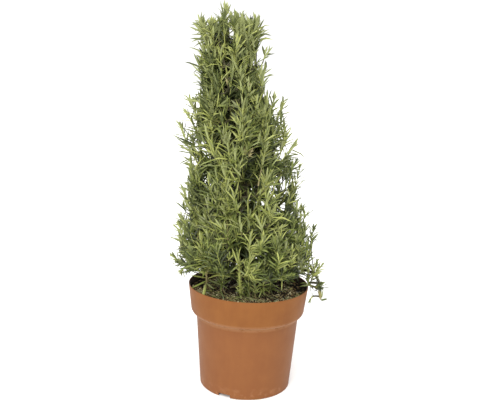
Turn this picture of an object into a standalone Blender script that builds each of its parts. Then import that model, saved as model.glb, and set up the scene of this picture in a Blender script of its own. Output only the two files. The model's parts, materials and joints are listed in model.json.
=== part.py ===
"""A rosemary trained as a narrow, leaning pyramid, in its moulded 19 cm nursery pot.

Metres, +Z up, front towards -Y. The origin is the middle of the pot's flat underside.
The pot is a turned shell and the compost fills it. One main stem runs up through the crown,
with boughs that carry the lower masses of foliage. Each mass keeps to a cell of the crown,
a slice of one tier, and its twigs and leaves grow there by one seeded rule.
"""

import math
import random
from dataclasses import dataclass

import bmesh
import bpy
from mathutils import Matrix, Vector, noise

GAP = 0.0003
UP = Vector((0, 0, 1))
NEARLY_UP = Vector((0.1, 0.2, 1))
OFF_AXIS = Vector((0.3, 1, 0.2))
PARALLEL = 1e-4

# Pot
POT_HEIGHT = 0.1655
RIM_RADIUS = 0.095
COLLAR_HEIGHT = 0.0465
COLLAR_TAPER = 0.0047
COLLAR_CORNER = 0.0085
COLLAR_CORNER_SWEEP = 75
BODY_TOP_RADIUS = 0.0812
BODY_FOOT_RADIUS = 0.0722
WALL = 0.0015
FOOT_ROUND = 0.0012
CORNER_STEPS = 2
PAD_RADIUS = 0.045
CHANNEL_RISE = 0.0055
CHANNEL_SLOPE = 0.003
FOOT_RING_WIDTH = 0.0024
POT_SEGMENTS = 36
POT_SMOOTH_ANGLE = math.radians(40)
NOTCH_COUNT = 3
NOTCH_WIDTH = 0.0205
NOTCH_HEIGHT = 0.0054
FIRST_NOTCH = math.radians(-115.2)
DRAIN_COUNT = 9
DRAIN_RADIUS = 0.004
DRAIN_SIDES = 8

# Compost
SOIL_TOP = 0.1545
SOIL_RINGS = 4
SOIL_SEGMENTS = POT_SEGMENTS // 2
SOIL_UNEVEN = 0.0035
SOIL_FLAT_RADIUS = 0.024
SOIL_LUMP = 0.018
SOIL_SMOOTH_ANGLE = math.radians(30)

# Crown, seen from the front: it leans left, and narrows from a skirt over the rim to a blunt top
CROWN_FOOT_X = 0.003
LEAN = 0.121
CROWN_HEIGHT = 0.597
SKIRT = (0.205, 0.124)
WAIST = (0.305, 0.100)
SHOULDER = (0.440, 0.086)
NECK = (0.492, 0.064)
BLUNT_TOP = (0.575, 0.058)
TIP = (CROWN_HEIGHT, 0.040)
CROWN_BELOW = (SOIL_TOP, 0.088)
CROWN_OUTLINE = (CROWN_BELOW, SKIRT, WAIST, SHOULDER, NECK, BLUNT_TOP, TIP)
TIER_RISE = 0.085
CELL_MARGIN = 0.0005
HOLLOW = 0.26
FURTHEST_REACH = 1.04
RIM_CLEARANCE = 0.0015
SOIL_CLEARANCE = 0.0015
TRIED_SHARES = (0.15, 0.4, 0.7, 1.0)

# Main stem and boughs
TRUNK_FOOT_RADIUS = 0.0062
TRUNK_TIP_RADIUS = 0.0022
TRUNK_FLARE = 0.0042
TRUNK_FLARE_HEIGHT = 0.012
TRUNK_TOP = 0.470
TRUNK_SIDES = 8
TRUNK_STATIONS = 12
TRUNK_STATION_BIAS = 1.5
TRUNK_STEP = 0.0015
TRUNK_SWAY = 0.0026
TRUNK_SWAY_LENGTH = 0.21
BOUGH_ROOT_RADIUS = 0.0034
BOUGH_TIP_RADIUS = 0.0021
BOUGH_SIDES = 5
BOUGH_STATIONS = 5
BOUGH_ELBOW_OUT = 0.75
BOUGH_ELBOW_UP = 0.15
BOUGH_REACH = 0.24
LIMB_CLEARANCE = 0.0008

# Stem of a mass, and the core round it that its shoots stand out of
STEM_RADIUS = 0.0024
STEM_SIDES = 4
STEM_STATIONS = 7
STEM_ELBOW = 0.4
STEM_REACH = 0.62
STEM_BAND = 0.86
TOP_STEM_BAND = 0.72
UPPER_STEM_RISE = 0.012
CORE_REACH = (0.32, 0.70)
CORE_ANGLE = 0.84
CORE_BAND = (0.07, 0.94)
TOP_CORE_BAND = (0.16, 0.84)
TOP_CORE_REACH = 0.44
CORE_SQUARENESS = 0.40
CORE_DETAIL = 2
CORE_TUFT = 1.12
CORE_HOLLOW = 0.94
CORE_FLOOR = SOIL_TOP + SOIL_UNEVEN + 0.004

# Leafy shoots, and where they end on the crown's skin
TWIG_RADIUS = 0.0015
TWIG_TIP_RADIUS = 0.0012
TWIG_SIDES = 3
SHOOT_RADII = (TWIG_RADIUS, 0.0085, TWIG_TIP_RADIUS)
SHOOT_ELBOW = 0.6
SHOOT_RISE = (0.055, 0.080)
SHOOT_TRIES = ((1, 0.3), (1, 0.6), (1, 0.8), (0.85, 0.3), (0.85, 0.7), (0.7, 0.5))
SHOOT_ROOM = 0.7
ROOT_NEARNESS = 0.3
TURN_SPREAD = 0.84
FIRST_TURN = 0.31
TARGET_FLOOR = 0.05
TARGET_BAND = 0.88
OUTER_TARGETS = (0.84, 0.97)
INNER_TARGETS = (0.55, 0.75)
INNER_EVERY = 3

# Leaves, fewer and larger than life
LEAF_LENGTH = 0.036
LEAF_LENGTH_RANGE = (0.8, 1.1)
LEAF_TRIES = (1.0, 0.75, 0.5)
LEAF_WIDTH = 0.0080
LEAF_THICKNESS = 0.0016
LEAF_SIDES = 3
LEAF_TIP_SCALE = 0.45
LEAF_SPREAD_LOW = math.radians(56)
LEAF_SPREAD_TIP = math.radians(18)
LAST_LEAF = 0.97
LEAFY_SHARE = 0.45
LEAF_TURN_JITTER = 0.3
GOLDEN_ANGLE = math.pi * (3 - math.sqrt(5))
GOLDEN_FRACTION = (math.sqrt(5) - 1) / 2

# Drooping shoot that hangs over the rim on the right
DROOP_AZIMUTH = math.radians(0)
DROOP_START_HEIGHT = 0.1815
DROOP_CREST = (0.066, 0.197)
DROOP_OVER_RIM = (0.101, 0.180)
DROOP_END = (0.117, 0.150)
DROOP_WIDTH = 0.026
DROOP_ELBOW = 0.5
DROOP_TWIGS = 3
DROOP_LEAVES = 5
DROOP_TWIG_OUT = 0.012
DROOP_TWIG_ACROSS = 0.014


def linear_colour(hex_colour):
    """The linear colour of an sRGB hex value."""
    channels = (int(hex_colour[i : i + 2], 16) / 255 for i in (0, 2, 4))
    return [c / 12.92 if c <= 0.04045 else ((c + 0.055) / 1.055) ** 2.4 for c in channels] + [1.0]


def new_material(name, hex_colour, roughness, metallic=0.0):
    finish = bpy.data.materials.new(name)
    finish.use_nodes = True
    shader = finish.node_tree.nodes["Principled BSDF"]
    shader.inputs["Base Color"].default_value = linear_colour(hex_colour)
    shader.inputs["Roughness"].default_value = roughness
    shader.inputs["Metallic"].default_value = metallic
    finish.diffuse_color = linear_colour(hex_colour)
    return finish


def new_object(name, bm, finish, parent, smooth_angle=None):
    """Turns a bmesh into a named object under the plant's empty."""
    mesh = bpy.data.meshes.new(name)
    bm.to_mesh(mesh)
    bm.free()
    if smooth_angle is not None:
        mesh.shade_smooth()
        mesh.set_sharp_from_angle(angle=smooth_angle)
    mesh.materials.append(finish)
    obj = bpy.data.objects.new(name, mesh)
    obj.parent = parent
    bpy.context.scene.collection.objects.link(obj)
    return obj


def arc(centre, radius, start, end, steps):
    """Points (r, z) on an arc, with both ends, angles in degrees."""
    angles = (math.radians(start + (end - start) * i / steps) for i in range(steps + 1))
    return [(centre[0] + radius * math.cos(a), centre[1] + radius * math.sin(a)) for a in angles]


def turned(profile, segments):
    """A closed solid turned about Z from a profile whose two ends lie on the axis."""
    bm = bmesh.new()
    points = [bm.verts.new((r, 0, z)) for r, z in profile]
    edges = [bm.edges.new(pair) for pair in zip(points, points[1:])]
    bmesh.ops.spin(
        bm,
        geom=points + edges,
        cent=(0, 0, 0),
        axis=(0, 0, 1),
        angle=math.tau,
        steps=segments,
        use_merge=True,
    )
    bmesh.ops.remove_doubles(bm, verts=bm.verts, dist=1e-6)
    bm.normal_update()
    bmesh.ops.recalc_face_normals(bm, faces=bm.faces)
    return bm


# Pot


def collar_foot_radius():
    return RIM_RADIUS - COLLAR_TAPER


def inner_wall(clearance=0.0):
    """The pot's inside from the rim down to the wall's foot, moved in by the wall and a clearance."""
    inset = WALL + clearance
    collar_foot = POT_HEIGHT - COLLAR_HEIGHT
    corner = (collar_foot_radius() - COLLAR_CORNER, collar_foot + COLLAR_CORNER)
    points = [(RIM_RADIUS - inset, POT_HEIGHT)]
    points += arc(corner, COLLAR_CORNER - inset, 0, -COLLAR_CORNER_SWEEP, CORNER_STEPS)
    points += [(BODY_TOP_RADIUS - inset, collar_foot + inset)]
    points += [(BODY_FOOT_RADIUS - inset, CHANNEL_RISE + WALL + 2 * FOOT_ROUND + clearance)]
    return points


def inner_floor(clearance=0.0):
    """The pot's inside floor from the wall in to the axis: a raised channel round a sunk pad."""
    top = WALL + clearance
    inset = WALL + clearance + FOOT_ROUND
    return [
        (BODY_FOOT_RADIUS - inset, CHANNEL_RISE + top),
        (PAD_RADIUS + CHANNEL_SLOPE - clearance, CHANNEL_RISE + top),
        (PAD_RADIUS - WALL - clearance, top),
        (0, top),
    ]


def pot_profile():
    """The pot's cut profile, from the axis under the pad, up the outside and back down the inside."""
    collar_foot = POT_HEIGHT - COLLAR_HEIGHT
    ring = BODY_FOOT_RADIUS - FOOT_RING_WIDTH
    corner = (collar_foot_radius() - COLLAR_CORNER, collar_foot + COLLAR_CORNER)
    under = [
        (0, 0),
        (PAD_RADIUS, 0),
        (PAD_RADIUS + CHANNEL_SLOPE, CHANNEL_RISE),
        (ring, CHANNEL_RISE),
        (ring, 0),
    ]
    foot = arc((BODY_FOOT_RADIUS - FOOT_ROUND, FOOT_ROUND), FOOT_ROUND, -90, 0, 1)
    body = [(BODY_TOP_RADIUS, collar_foot)]
    collar = arc(corner, COLLAR_CORNER, -COLLAR_CORNER_SWEEP, 0, CORNER_STEPS)
    rim = [(RIM_RADIUS, POT_HEIGHT)]
    return under + foot + body + collar + rim + inner_wall() + inner_floor()


def add_cutter(name, bm, collection, parent):
    """A tool that the pot is cut with, drawn as wire and left out of the model."""
    mesh = bpy.data.meshes.new(name)
    bm.to_mesh(mesh)
    bm.free()
    cutter = bpy.data.objects.new(name, mesh)
    cutter.hide_render = True
    cutter.display_type = "WIRE"
    cutter.parent = parent
    collection.objects.link(cutter)
    return cutter


def make_pot(parent, finish):
    """The turned shell, with notches through its foot ring and drain holes in its raised channel."""
    pot = new_object("pot", turned(pot_profile(), POT_SEGMENTS), finish, parent, POT_SMOOTH_ANGLE)
    cuts = bpy.data.collections.new("pot_cuts")
    bpy.context.scene.collection.children.link(cuts)
    cuts.hide_render = True
    notch_depth = 3 * FOOT_RING_WIDTH
    channel_middle = (PAD_RADIUS + BODY_FOOT_RADIUS) / 2
    for i in range(NOTCH_COUNT):
        angle = FIRST_NOTCH + math.tau * i / NOTCH_COUNT
        outward = Vector((math.cos(angle), math.sin(angle), 0))
        block = bmesh.new()
        bmesh.ops.create_cube(block, size=1)
        bmesh.ops.scale(block, vec=(notch_depth, NOTCH_WIDTH, 2 * NOTCH_HEIGHT), verts=block.verts)
        notch = add_cutter(f"notch_cutter_{i + 1}", block, cuts, parent)
        notch.location = outward * (BODY_FOOT_RADIUS - FOOT_RING_WIDTH / 2)
        notch.rotation_euler = (0, 0, angle)
    for i in range(DRAIN_COUNT):
        angle = FIRST_NOTCH + math.tau * i / DRAIN_COUNT
        outward = Vector((math.cos(angle), math.sin(angle), 0))
        drill = bmesh.new()
        bmesh.ops.create_cone(
            drill,
            cap_ends=True,
            segments=DRAIN_SIDES,
            radius1=DRAIN_RADIUS,
            radius2=DRAIN_RADIUS,
            depth=4 * WALL,
        )
        drain = add_cutter(f"drain_cutter_{i + 1}", drill, cuts, parent)
        drain.location = outward * channel_middle + Vector((0, 0, CHANNEL_RISE + WALL / 2))
    cut = pot.modifiers.new("notches and drains", "BOOLEAN")
    cut.operation = "DIFFERENCE"
    cut.operand_type = "COLLECTION"
    cut.collection = cuts
    return pot


# Compost


def soil_height(x, y):
    """The compost's uneven top, level round the main stem's foot."""
    distance = math.hypot(x, y)
    rough = noise.noise(Vector((x, y, 0)) / SOIL_LUMP)
    fade = min(1, max(0, distance / SOIL_FLAT_RADIUS - 1))
    return SOIL_TOP + SOIL_UNEVEN * rough * fade


def make_soil(parent, finish):
    """The compost, a solid that fills the pot to an uneven top a finger's width under the rim."""
    wall = inner_wall(GAP)
    step_top = wall[1]
    share = (POT_HEIGHT - SOIL_TOP) / (POT_HEIGHT - step_top[1])
    edge_radius = wall[0][0] + (step_top[0] - wall[0][0]) * share
    rings = [(edge_radius * i / SOIL_RINGS, SOIL_TOP) for i in range(SOIL_RINGS + 1)]
    profile = list(reversed(inner_floor(GAP))) + list(reversed(wall[1:])) + list(reversed(rings))
    bm = turned(profile, SOIL_SEGMENTS)
    for vert in bm.verts:
        inside = math.hypot(vert.co.x, vert.co.y) < edge_radius * (1 - 0.5 / SOIL_RINGS)
        if abs(vert.co.z - SOIL_TOP) < GAP / 10 and inside:
            vert.co.z = soil_height(vert.co.x, vert.co.y)
    return new_object("compost", bm, finish, parent, SOIL_SMOOTH_ANGLE)


# Crown


def along(stations, height):
    """The value at a height between stations, each a pair of a height and a value."""
    if height <= stations[0][0]:
        return stations[0][1]
    for (low, first), (high, last) in zip(stations, stations[1:]):
        if height <= high:
            share = (height - low) / (high - low)
            return first + (last - first) * share
    return stations[-1][1]


def crown_axis(height):
    return Vector((CROWN_FOOT_X - LEAN * (height - SOIL_TOP), 0, height))


def crown_radius(height):
    return along(CROWN_OUTLINE, height)


@dataclass
class Cell:
    """One slice of one tier. Its floor climbs outwards, as the shoots do, and so may its roof."""

    azimuth: float
    half_angle: float
    low: float
    high: float
    roof_rise: float = TIER_RISE

    def point(self, turn, reach, band):
        """The point at a turn of -1 to 1, a reach of 0 to 1 from the axis, and a band of 0 to 1."""
        floor = self.low + TIER_RISE * reach
        roof = self.high + self.roof_rise * reach
        height = floor + (roof - floor) * band
        angle = self.azimuth + self.half_angle * turn
        outward = Vector((math.cos(angle), math.sin(angle), 0))
        return crown_axis(height) + outward * crown_radius(height) * reach

    def holds(self, point, room):
        """Whether a ball of this radius round the point lies in the cell."""
        room += CELL_MARGIN
        offset = point - crown_axis(point.z)
        distance = max(math.hypot(offset.x, offset.y), 1e-6)
        reach = distance / crown_radius(point.z)
        floor = self.low + TIER_RISE * reach + room
        roof = min(self.high + self.roof_rise * reach, CROWN_HEIGHT) - room
        if not floor < point.z < roof or reach > FURTHEST_REACH:
            return False
        if self.half_angle >= math.pi:
            return True
        turn = (math.atan2(offset.y, offset.x) - self.azimuth + math.pi) % math.tau - math.pi
        return reach > HOLLOW and abs(turn) + room / distance < self.half_angle


@dataclass
class Hanging:
    """The space of the shoot that hangs outside the pot, a tube round its stem."""

    start: Vector
    end: Vector
    width: float

    def holds(self, point, room):
        span = self.end - self.start
        share = min(1, max(0, (point - self.start).dot(span) / span.length_squared))
        return (point - self.start - span * share).length + room < self.width


@dataclass
class Limb:
    """The main stem or a bough: its centre line, its radii and the way its root cut faces."""

    path: list
    radii: list
    heading: Vector


def clear_of_pot(point, room):
    """Whether a ball clears the rim, the collar and the compost."""
    distance = math.hypot(point.x, point.y)
    if point.z > POT_HEIGHT + room + RIM_CLEARANCE:
        return True
    if distance > RIM_RADIUS + room + RIM_CLEARANCE:
        return True
    inside = distance < RIM_RADIUS - COLLAR_TAPER - WALL - room - RIM_CLEARANCE
    return inside and point.z > SOIL_TOP + SOIL_UNEVEN + room + SOIL_CLEARANCE


def clear_of_limbs(point, room, limbs):
    """Whether a ball clears the main stem and every bough."""
    for limb in limbs:
        for (a, b), radius in zip(zip(limb.path, limb.path[1:]), limb.radii):
            span = b - a
            share = min(1, max(0, (point - a).dot(span) / span.length_squared))
            if (point - a - span * share).length < radius + room + LIMB_CLEARANCE:
                return False
    return True


def bezier(a, b, c, share):
    return a * (1 - share) ** 2 + b * 2 * share * (1 - share) + c * share**2


def curve_points(a, b, c, stations):
    return [bezier(a, b, c, i / (stations - 1)) for i in range(stations)]


def tapered(first, last, stations):
    return [first + (last - first) * i / (stations - 1) for i in range(stations)]


def frame_at(point, direction, upward):
    """A matrix at the point with Z along the direction and X as near to upward as it can be."""
    z = direction.normalized()
    y = z.cross(upward)
    if y.length < PARALLEL:
        y = z.cross(OFF_AXIS)
    y.normalize()
    x = y.cross(z)
    return Matrix.Translation(point) @ Matrix((x, y, z)).transposed().to_4x4()


def swept(path, radii, sides, upward, flat=1.0, first_direction=None):
    """A tapering closed limb, extruded face by face from a ring along the path."""
    bm = bmesh.new()
    directions = [(b - a).normalized() for a, b in zip(path, path[1:])]
    tangents = [directions[0]] + [a + b for a, b in zip(directions, directions[1:])] + [directions[-1]]
    if first_direction is not None:
        tangents[0] = first_direction
    frames = []
    for point, tangent, radius in zip(path, tangents, radii):
        frame = frame_at(point, tangent, upward)
        upward = frame.to_3x3() @ Vector((1, 0, 0))
        frames.append(frame @ Matrix.Diagonal((radius * flat, radius, 1, 1)))
    bmesh.ops.create_circle(bm, cap_ends=True, segments=sides, radius=1, matrix=frames[0])
    root = bm.faces[:]
    end = root
    for last, following in zip(frames, frames[1:]):
        grown = bmesh.ops.extrude_face_region(bm, geom=end)["geom"]
        if end is not root:
            bmesh.ops.delete(bm, geom=end, context="FACES_ONLY")
        end = [part for part in grown if isinstance(part, bmesh.types.BMFace)]
        corners = [part for part in grown if isinstance(part, bmesh.types.BMVert)]
        bmesh.ops.transform(bm, matrix=following @ last.inverted(), verts=corners)
    bm.normal_update()
    bmesh.ops.recalc_face_normals(bm, faces=bm.faces)
    return bm


# Main stem and boughs


def trunk_point(height):
    """The main stem's centre line, a slight sway about the crown's leaning axis."""
    climb = height - SOIL_TOP
    sway = TRUNK_SWAY * math.sin(math.tau * climb / TRUNK_SWAY_LENGTH)
    bend = TRUNK_SWAY * math.sin(math.pi * climb / TRUNK_SWAY_LENGTH)
    return crown_axis(height) + Vector((sway, bend, 0))


def trunk_radius(height):
    share = (height - SOIL_TOP) / (TRUNK_TOP - SOIL_TOP)
    flare = TRUNK_FLARE * math.exp(-(height - SOIL_TOP) / TRUNK_FLARE_HEIGHT)
    return TRUNK_FOOT_RADIUS + (TRUNK_TIP_RADIUS - TRUNK_FOOT_RADIUS) * share + flare


def trunk_limb():
    """The main stem's path and radii, with its stations closer together at the flared foot."""
    foot = SOIL_TOP + GAP
    shares = [(i / (TRUNK_STATIONS - 1)) ** TRUNK_STATION_BIAS for i in range(TRUNK_STATIONS)]
    heights = [foot + (TRUNK_TOP - foot) * share for share in shares]
    return Limb([trunk_point(h) for h in heights], [trunk_radius(h) for h in heights], UP)


def off_trunk(height, angle):
    """Where a limb of this azimuth leaves the main stem, squarely and just clear of its bark."""
    run = (trunk_point(height + TRUNK_STEP) - trunk_point(height - TRUNK_STEP)).normalized()
    outward = Vector((math.cos(angle), math.sin(angle), 0))
    heading = (outward - run * outward.dot(run)).normalized()
    widest = trunk_radius(height - BOUGH_ROOT_RADIUS)
    return trunk_point(height) + heading * (widest + GAP), heading


def bough_limb(height, angle, tip):
    """A bough that leaves the main stem squarely and bends up to its tip."""
    start, outward = off_trunk(height, angle)
    elbow = start + outward * (tip - start).to_2d().length * BOUGH_ELBOW_OUT
    elbow.z += (tip.z - start.z) * BOUGH_ELBOW_UP
    path = curve_points(start, elbow, tip, BOUGH_STATIONS)
    return Limb(path, tapered(BOUGH_ROOT_RADIUS, BOUGH_TIP_RADIUS, BOUGH_STATIONS), outward)


def droop_limb():
    """The low bough on the right that arches out over the pot's rim."""
    start, outward = off_trunk(DROOP_START_HEIGHT, DROOP_AZIMUTH)
    crest = outward * DROOP_CREST[0] + UP * DROOP_CREST[1]
    tip = outward * DROOP_OVER_RIM[0] + UP * DROOP_OVER_RIM[1]
    stations = BOUGH_STATIONS + 2
    path = curve_points(start, crest, tip, stations)
    return Limb(path, tapered(BOUGH_ROOT_RADIUS, BOUGH_TIP_RADIUS, stations), outward)


# Foliage


def new_collection(name):
    collection = bpy.data.collections.new(name)
    bpy.context.scene.collection.children.link(collection)
    return collection


def add_piece(bm, collection):
    mesh = bpy.data.meshes.new("growth")
    bm.to_mesh(mesh)
    bm.free()
    collection.objects.link(bpy.data.objects.new("growth", mesh))


def core_mesh(cell):
    """A faceted core shaped to the cell, smaller than it all round."""
    bm = bmesh.new()
    bmesh.ops.create_icosphere(bm, subdivisions=CORE_DETAIL, radius=1)
    whole = cell.half_angle >= math.pi
    low, high = TOP_CORE_BAND if whole else CORE_BAND
    tufts = {vert for vert in bm.verts if len(vert.link_edges) == 5}
    for vert in bm.verts:
        swell = CORE_TUFT if vert in tufts else CORE_HOLLOW
        turn, reach, band = vert.co * swell / max(map(abs, vert.co)) ** CORE_SQUARENESS
        if whole:
            turn, reach = math.atan2(turn, reach) / math.pi, math.hypot(turn, reach) * TOP_CORE_REACH
        else:
            turn *= CORE_ANGLE
            reach = sum(CORE_REACH) / 2 + reach * (CORE_REACH[1] - CORE_REACH[0]) / 2
        vert.co = cell.point(turn, reach, (low + high) / 2 + band * (high - low) / 2)
        vert.co.z = max(vert.co.z, CORE_FLOOR)
    bm.normal_update()
    bmesh.ops.recalc_face_normals(bm, faces=bm.faces)
    return bm


def leaf_ends(twig, share, turn, length):
    """A leaf's root on the twig, its tip, and the way its upper side faces."""
    position = share * (len(twig) - 1)
    index = min(int(position), len(twig) - 2)
    root = twig[index].lerp(twig[index + 1], position - index)
    tangent = (twig[index + 1] - twig[index]).normalized()
    across = tangent.orthogonal().normalized()
    side = Matrix.Rotation(turn, 3, tangent) @ across
    spread = LEAF_SPREAD_LOW + (LEAF_SPREAD_TIP - LEAF_SPREAD_LOW) * share
    direction = tangent * math.cos(spread) + side * math.sin(spread)
    upper = tangent * math.sin(spread) - side * math.cos(spread)
    return root, root + direction * length, upper


def fits(start, end, room, space, limbs):
    """Whether a straight piece keeps to its space, clear of the pot and the limbs."""
    points = [start.lerp(end, share) for share in TRIED_SHARES]
    return all(
        space.holds(point, room) and clear_of_pot(point, room) and clear_of_limbs(point, room, limbs)
        for point in points
    )


def grow_leaves(twig, count, space, limbs, chance, collection):
    """Leaves in a golden-angle spiral along the outer part of a twig, those that don't fit skipped."""
    turn = chance.uniform(0, math.tau)
    half = LEAF_WIDTH / 2
    flat = LEAF_THICKNESS / LEAF_WIDTH
    for i in range(count):
        share = LAST_LEAF - LEAFY_SHARE * i / max(count - 1, 1)
        turn += GOLDEN_ANGLE + chance.uniform(-LEAF_TURN_JITTER, LEAF_TURN_JITTER)
        length = LEAF_LENGTH * chance.uniform(*LEAF_LENGTH_RANGE)
        for shorter in LEAF_TRIES:
            root, tip, upper = leaf_ends(twig, share, turn, length * shorter)
            if fits(root, tip, half, space, limbs):
                blade = swept([root, tip], [half, half * LEAF_TIP_SCALE], LEAF_SIDES, upper, flat)
                add_piece(blade, collection)
                break


def shoot_path(root, target, share, lift):
    """A shoot's path that runs outwards from its root, then turns up to its target."""
    end = root.lerp(target, share)
    elbow = root.lerp(end, SHOOT_ELBOW)
    elbow.z = root.z + (end.z - root.z) * lift
    return curve_points(root, elbow, end, len(SHOOT_RADII))


def grow_twig(stem, target, leaves, space, limbs, chance, collection):
    """A leafy shoot from the stem towards its target, straighter or shorter where it has to be."""
    start = target.z - chance.uniform(*SHOOT_RISE)
    root = min(stem, key=lambda at: abs(start - at.z) + (target - at).length * ROOT_NEARNESS)
    for share, lift in SHOOT_TRIES:
        twig = shoot_path(root, target, share, lift)
        near = clear_of_limbs(root.lerp(twig[1], 0.5), TWIG_RADIUS * 2, limbs)
        if near and fits(twig[1], twig[-1], SHOOT_RADII[1] * SHOOT_ROOM, space, limbs):
            add_piece(swept(twig, SHOOT_RADII, TWIG_SIDES, UP), collection)
            grow_leaves(twig, leaves, space, limbs, chance, collection)
            return


def fuse(name, first, collection, finish, parent):
    """Joins a mass by one union, fills what that seals, drops loose scraps, and removes the parts."""
    obj = new_object(name, first, finish, parent)
    join = obj.modifiers.new("join", "BOOLEAN")
    join.operation = "UNION"
    join.operand_type = "COLLECTION"
    join.collection = collection
    bpy.context.view_layer.update()
    fused = bpy.data.meshes.new_from_object(obj.evaluated_get(bpy.context.evaluated_depsgraph_get()))
    obj.modifiers.clear()
    obj.data = fused
    for piece in list(collection.objects):
        bpy.data.meshes.remove(piece.data)
    bpy.data.collections.remove(collection)
    keep_main_body(fused)
    return obj


def keep_main_body(mesh):
    """Leaves only the largest connected body of a mesh."""
    bm = bmesh.new()
    bm.from_mesh(mesh)
    waiting = set(bm.verts)
    bodies = []
    while waiting:
        body = set()
        edge = [waiting.pop()]
        while edge:
            vert = edge.pop()
            body.add(vert)
            for near in (link.other_vert(vert) for link in vert.link_edges):
                if near in waiting:
                    waiting.remove(near)
                    edge.append(near)
        bodies.append(body)
    bodies.sort(key=len)
    scraps = [vert for body in bodies[:-1] for vert in body]
    bmesh.ops.delete(bm, geom=scraps, context="VERTS")
    bm.to_mesh(mesh)
    bm.free()


@dataclass
class Tier:
    """One storey of the crown, cut into slices."""

    name: str
    slices: int
    first_azimuth: float
    low: float
    high: float
    twigs: int
    leaves: int
    bough_rise: float = 0
    bough_band: float = 0


TIERS = (
    Tier("skirt", 5, math.radians(36), 0.065, 0.187, 8, 3, 0.016, 0.80),
    Tier("lower", 4, math.radians(-90), 0.187, 0.288, 7, 3, 0.022, 0.12),
    Tier("middle", 4, math.radians(-75), 0.288, 0.382, 7, 3, 0.055, 0.12),
    Tier("upper", 3, math.radians(-100), 0.382, 0.462, 6, 3),
)
TOP_CELL = Cell(0, math.pi, 0.462, CROWN_HEIGHT, 0)
TOP_TWIGS = 10
TOP_LEAVES = 3
LEADER_TIP = Vector((-0.055, -0.004, 0.584))


@dataclass
class Mass:
    """A mass of foliage before it grows: its space, its stem and where its twigs go."""

    name: str
    space: object
    stem: list
    heading: Vector
    targets: list
    leaves: int
    core: bool = True


def beyond_tip(limb):
    """Where a mass's stem starts, just clear of the limb's tip, and which way it heads."""
    heading = (limb.path[-1] - limb.path[-2]).normalized()
    return limb.path[-1] + heading * GAP, heading


def mass_targets(cell, count, chance):
    """Points on the crown's skin, spread evenly over the cell, which the twigs grow to."""
    targets = []
    spread = TURN_SPREAD if cell.half_angle < math.pi else 1
    for i in range(count):
        turn = 2 * ((i * GOLDEN_FRACTION + FIRST_TURN) % 1) - 1
        band = (i + 0.5) / count
        reach = chance.uniform(*(OUTER_TARGETS if i % INNER_EVERY else INNER_TARGETS))
        targets.append(cell.point(turn * spread, reach, TARGET_FLOOR + TARGET_BAND * band))
    return targets


def tier_masses(tier, limbs):
    """The masses of one tier, with the boughs that carry them added to the limbs."""
    masses = []
    for i in range(tier.slices):
        half = math.pi / tier.slices
        cell = Cell(tier.first_azimuth + 2 * half * i, half, tier.low, tier.high)
        name = f"{tier.name}_foliage_{i + 1}"
        if tier.bough_rise:
            tip = cell.point(0, BOUGH_REACH, tier.bough_band)
            limbs.append(bough_limb(tip.z - tier.bough_rise, cell.azimuth, tip))
            start, heading = beyond_tip(limbs[-1])
        else:
            start, heading = off_trunk(tier.low + UPPER_STEM_RISE, cell.azimuth)
        end = cell.point(0, STEM_REACH, STEM_BAND)
        elbow = start + heading * (end - start).length * STEM_ELBOW
        stem = curve_points(start, elbow, end, STEM_STATIONS)
        targets = mass_targets(cell, tier.twigs, random.Random(name))
        masses.append(Mass(name, cell, stem, heading, targets, tier.leaves))
    return masses


def top_mass(limbs):
    """The blunt top of the crown, on the main stem's tip, with its leader to the left."""
    start, heading = beyond_tip(limbs[0])
    end = TOP_CELL.point(0, 0, TOP_STEM_BAND)
    stem = curve_points(start, start.lerp(end, 0.5), end, STEM_STATIONS)
    targets = mass_targets(TOP_CELL, TOP_TWIGS, random.Random("top_foliage")) + [LEADER_TIP]
    return Mass("top_foliage", TOP_CELL, stem, heading, targets, TOP_LEAVES)


def drooping_mass(limbs):
    """The shoot that hangs from the low bough's tip, outside the pot."""
    limbs.append(droop_limb())
    start, heading = beyond_tip(limbs[-1])
    outward = Vector((math.cos(DROOP_AZIMUTH), math.sin(DROOP_AZIMUTH), 0))
    end = outward * DROOP_END[0] + UP * DROOP_END[1]
    elbow = start + heading * (end - start).length * DROOP_ELBOW
    stem = curve_points(start, elbow, end, STEM_STATIONS)
    space = Hanging(start, end, DROOP_WIDTH)
    across = UP.cross(outward) * DROOP_TWIG_ACROSS
    targets = [
        stem[2 + 2 * i] + outward * DROOP_TWIG_OUT + (across if i % 2 else -across)
        for i in range(DROOP_TWIGS)
    ]
    return Mass("drooping_shoot", space, stem, heading, targets, DROOP_LEAVES, core=False)


def grow_mass(mass, limbs, finish, parent):
    """One mass: a stem, a core round it, and twigs with leaves that reach the crown's skin."""
    chance = random.Random(mass.name)
    growth = new_collection(mass.name)
    if mass.core:
        add_piece(core_mesh(mass.space), growth)
    else:
        grow_leaves(mass.stem, mass.leaves, mass.space, limbs, chance, growth)
    for target in mass.targets:
        grow_twig(mass.stem[1:], target, mass.leaves, mass.space, limbs, chance, growth)
    radii = tapered(STEM_RADIUS, TWIG_RADIUS, STEM_STATIONS)
    first = swept(mass.stem, radii, STEM_SIDES, NEARLY_UP, first_direction=mass.heading)
    return fuse(mass.name, first, growth, finish, parent)


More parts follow.
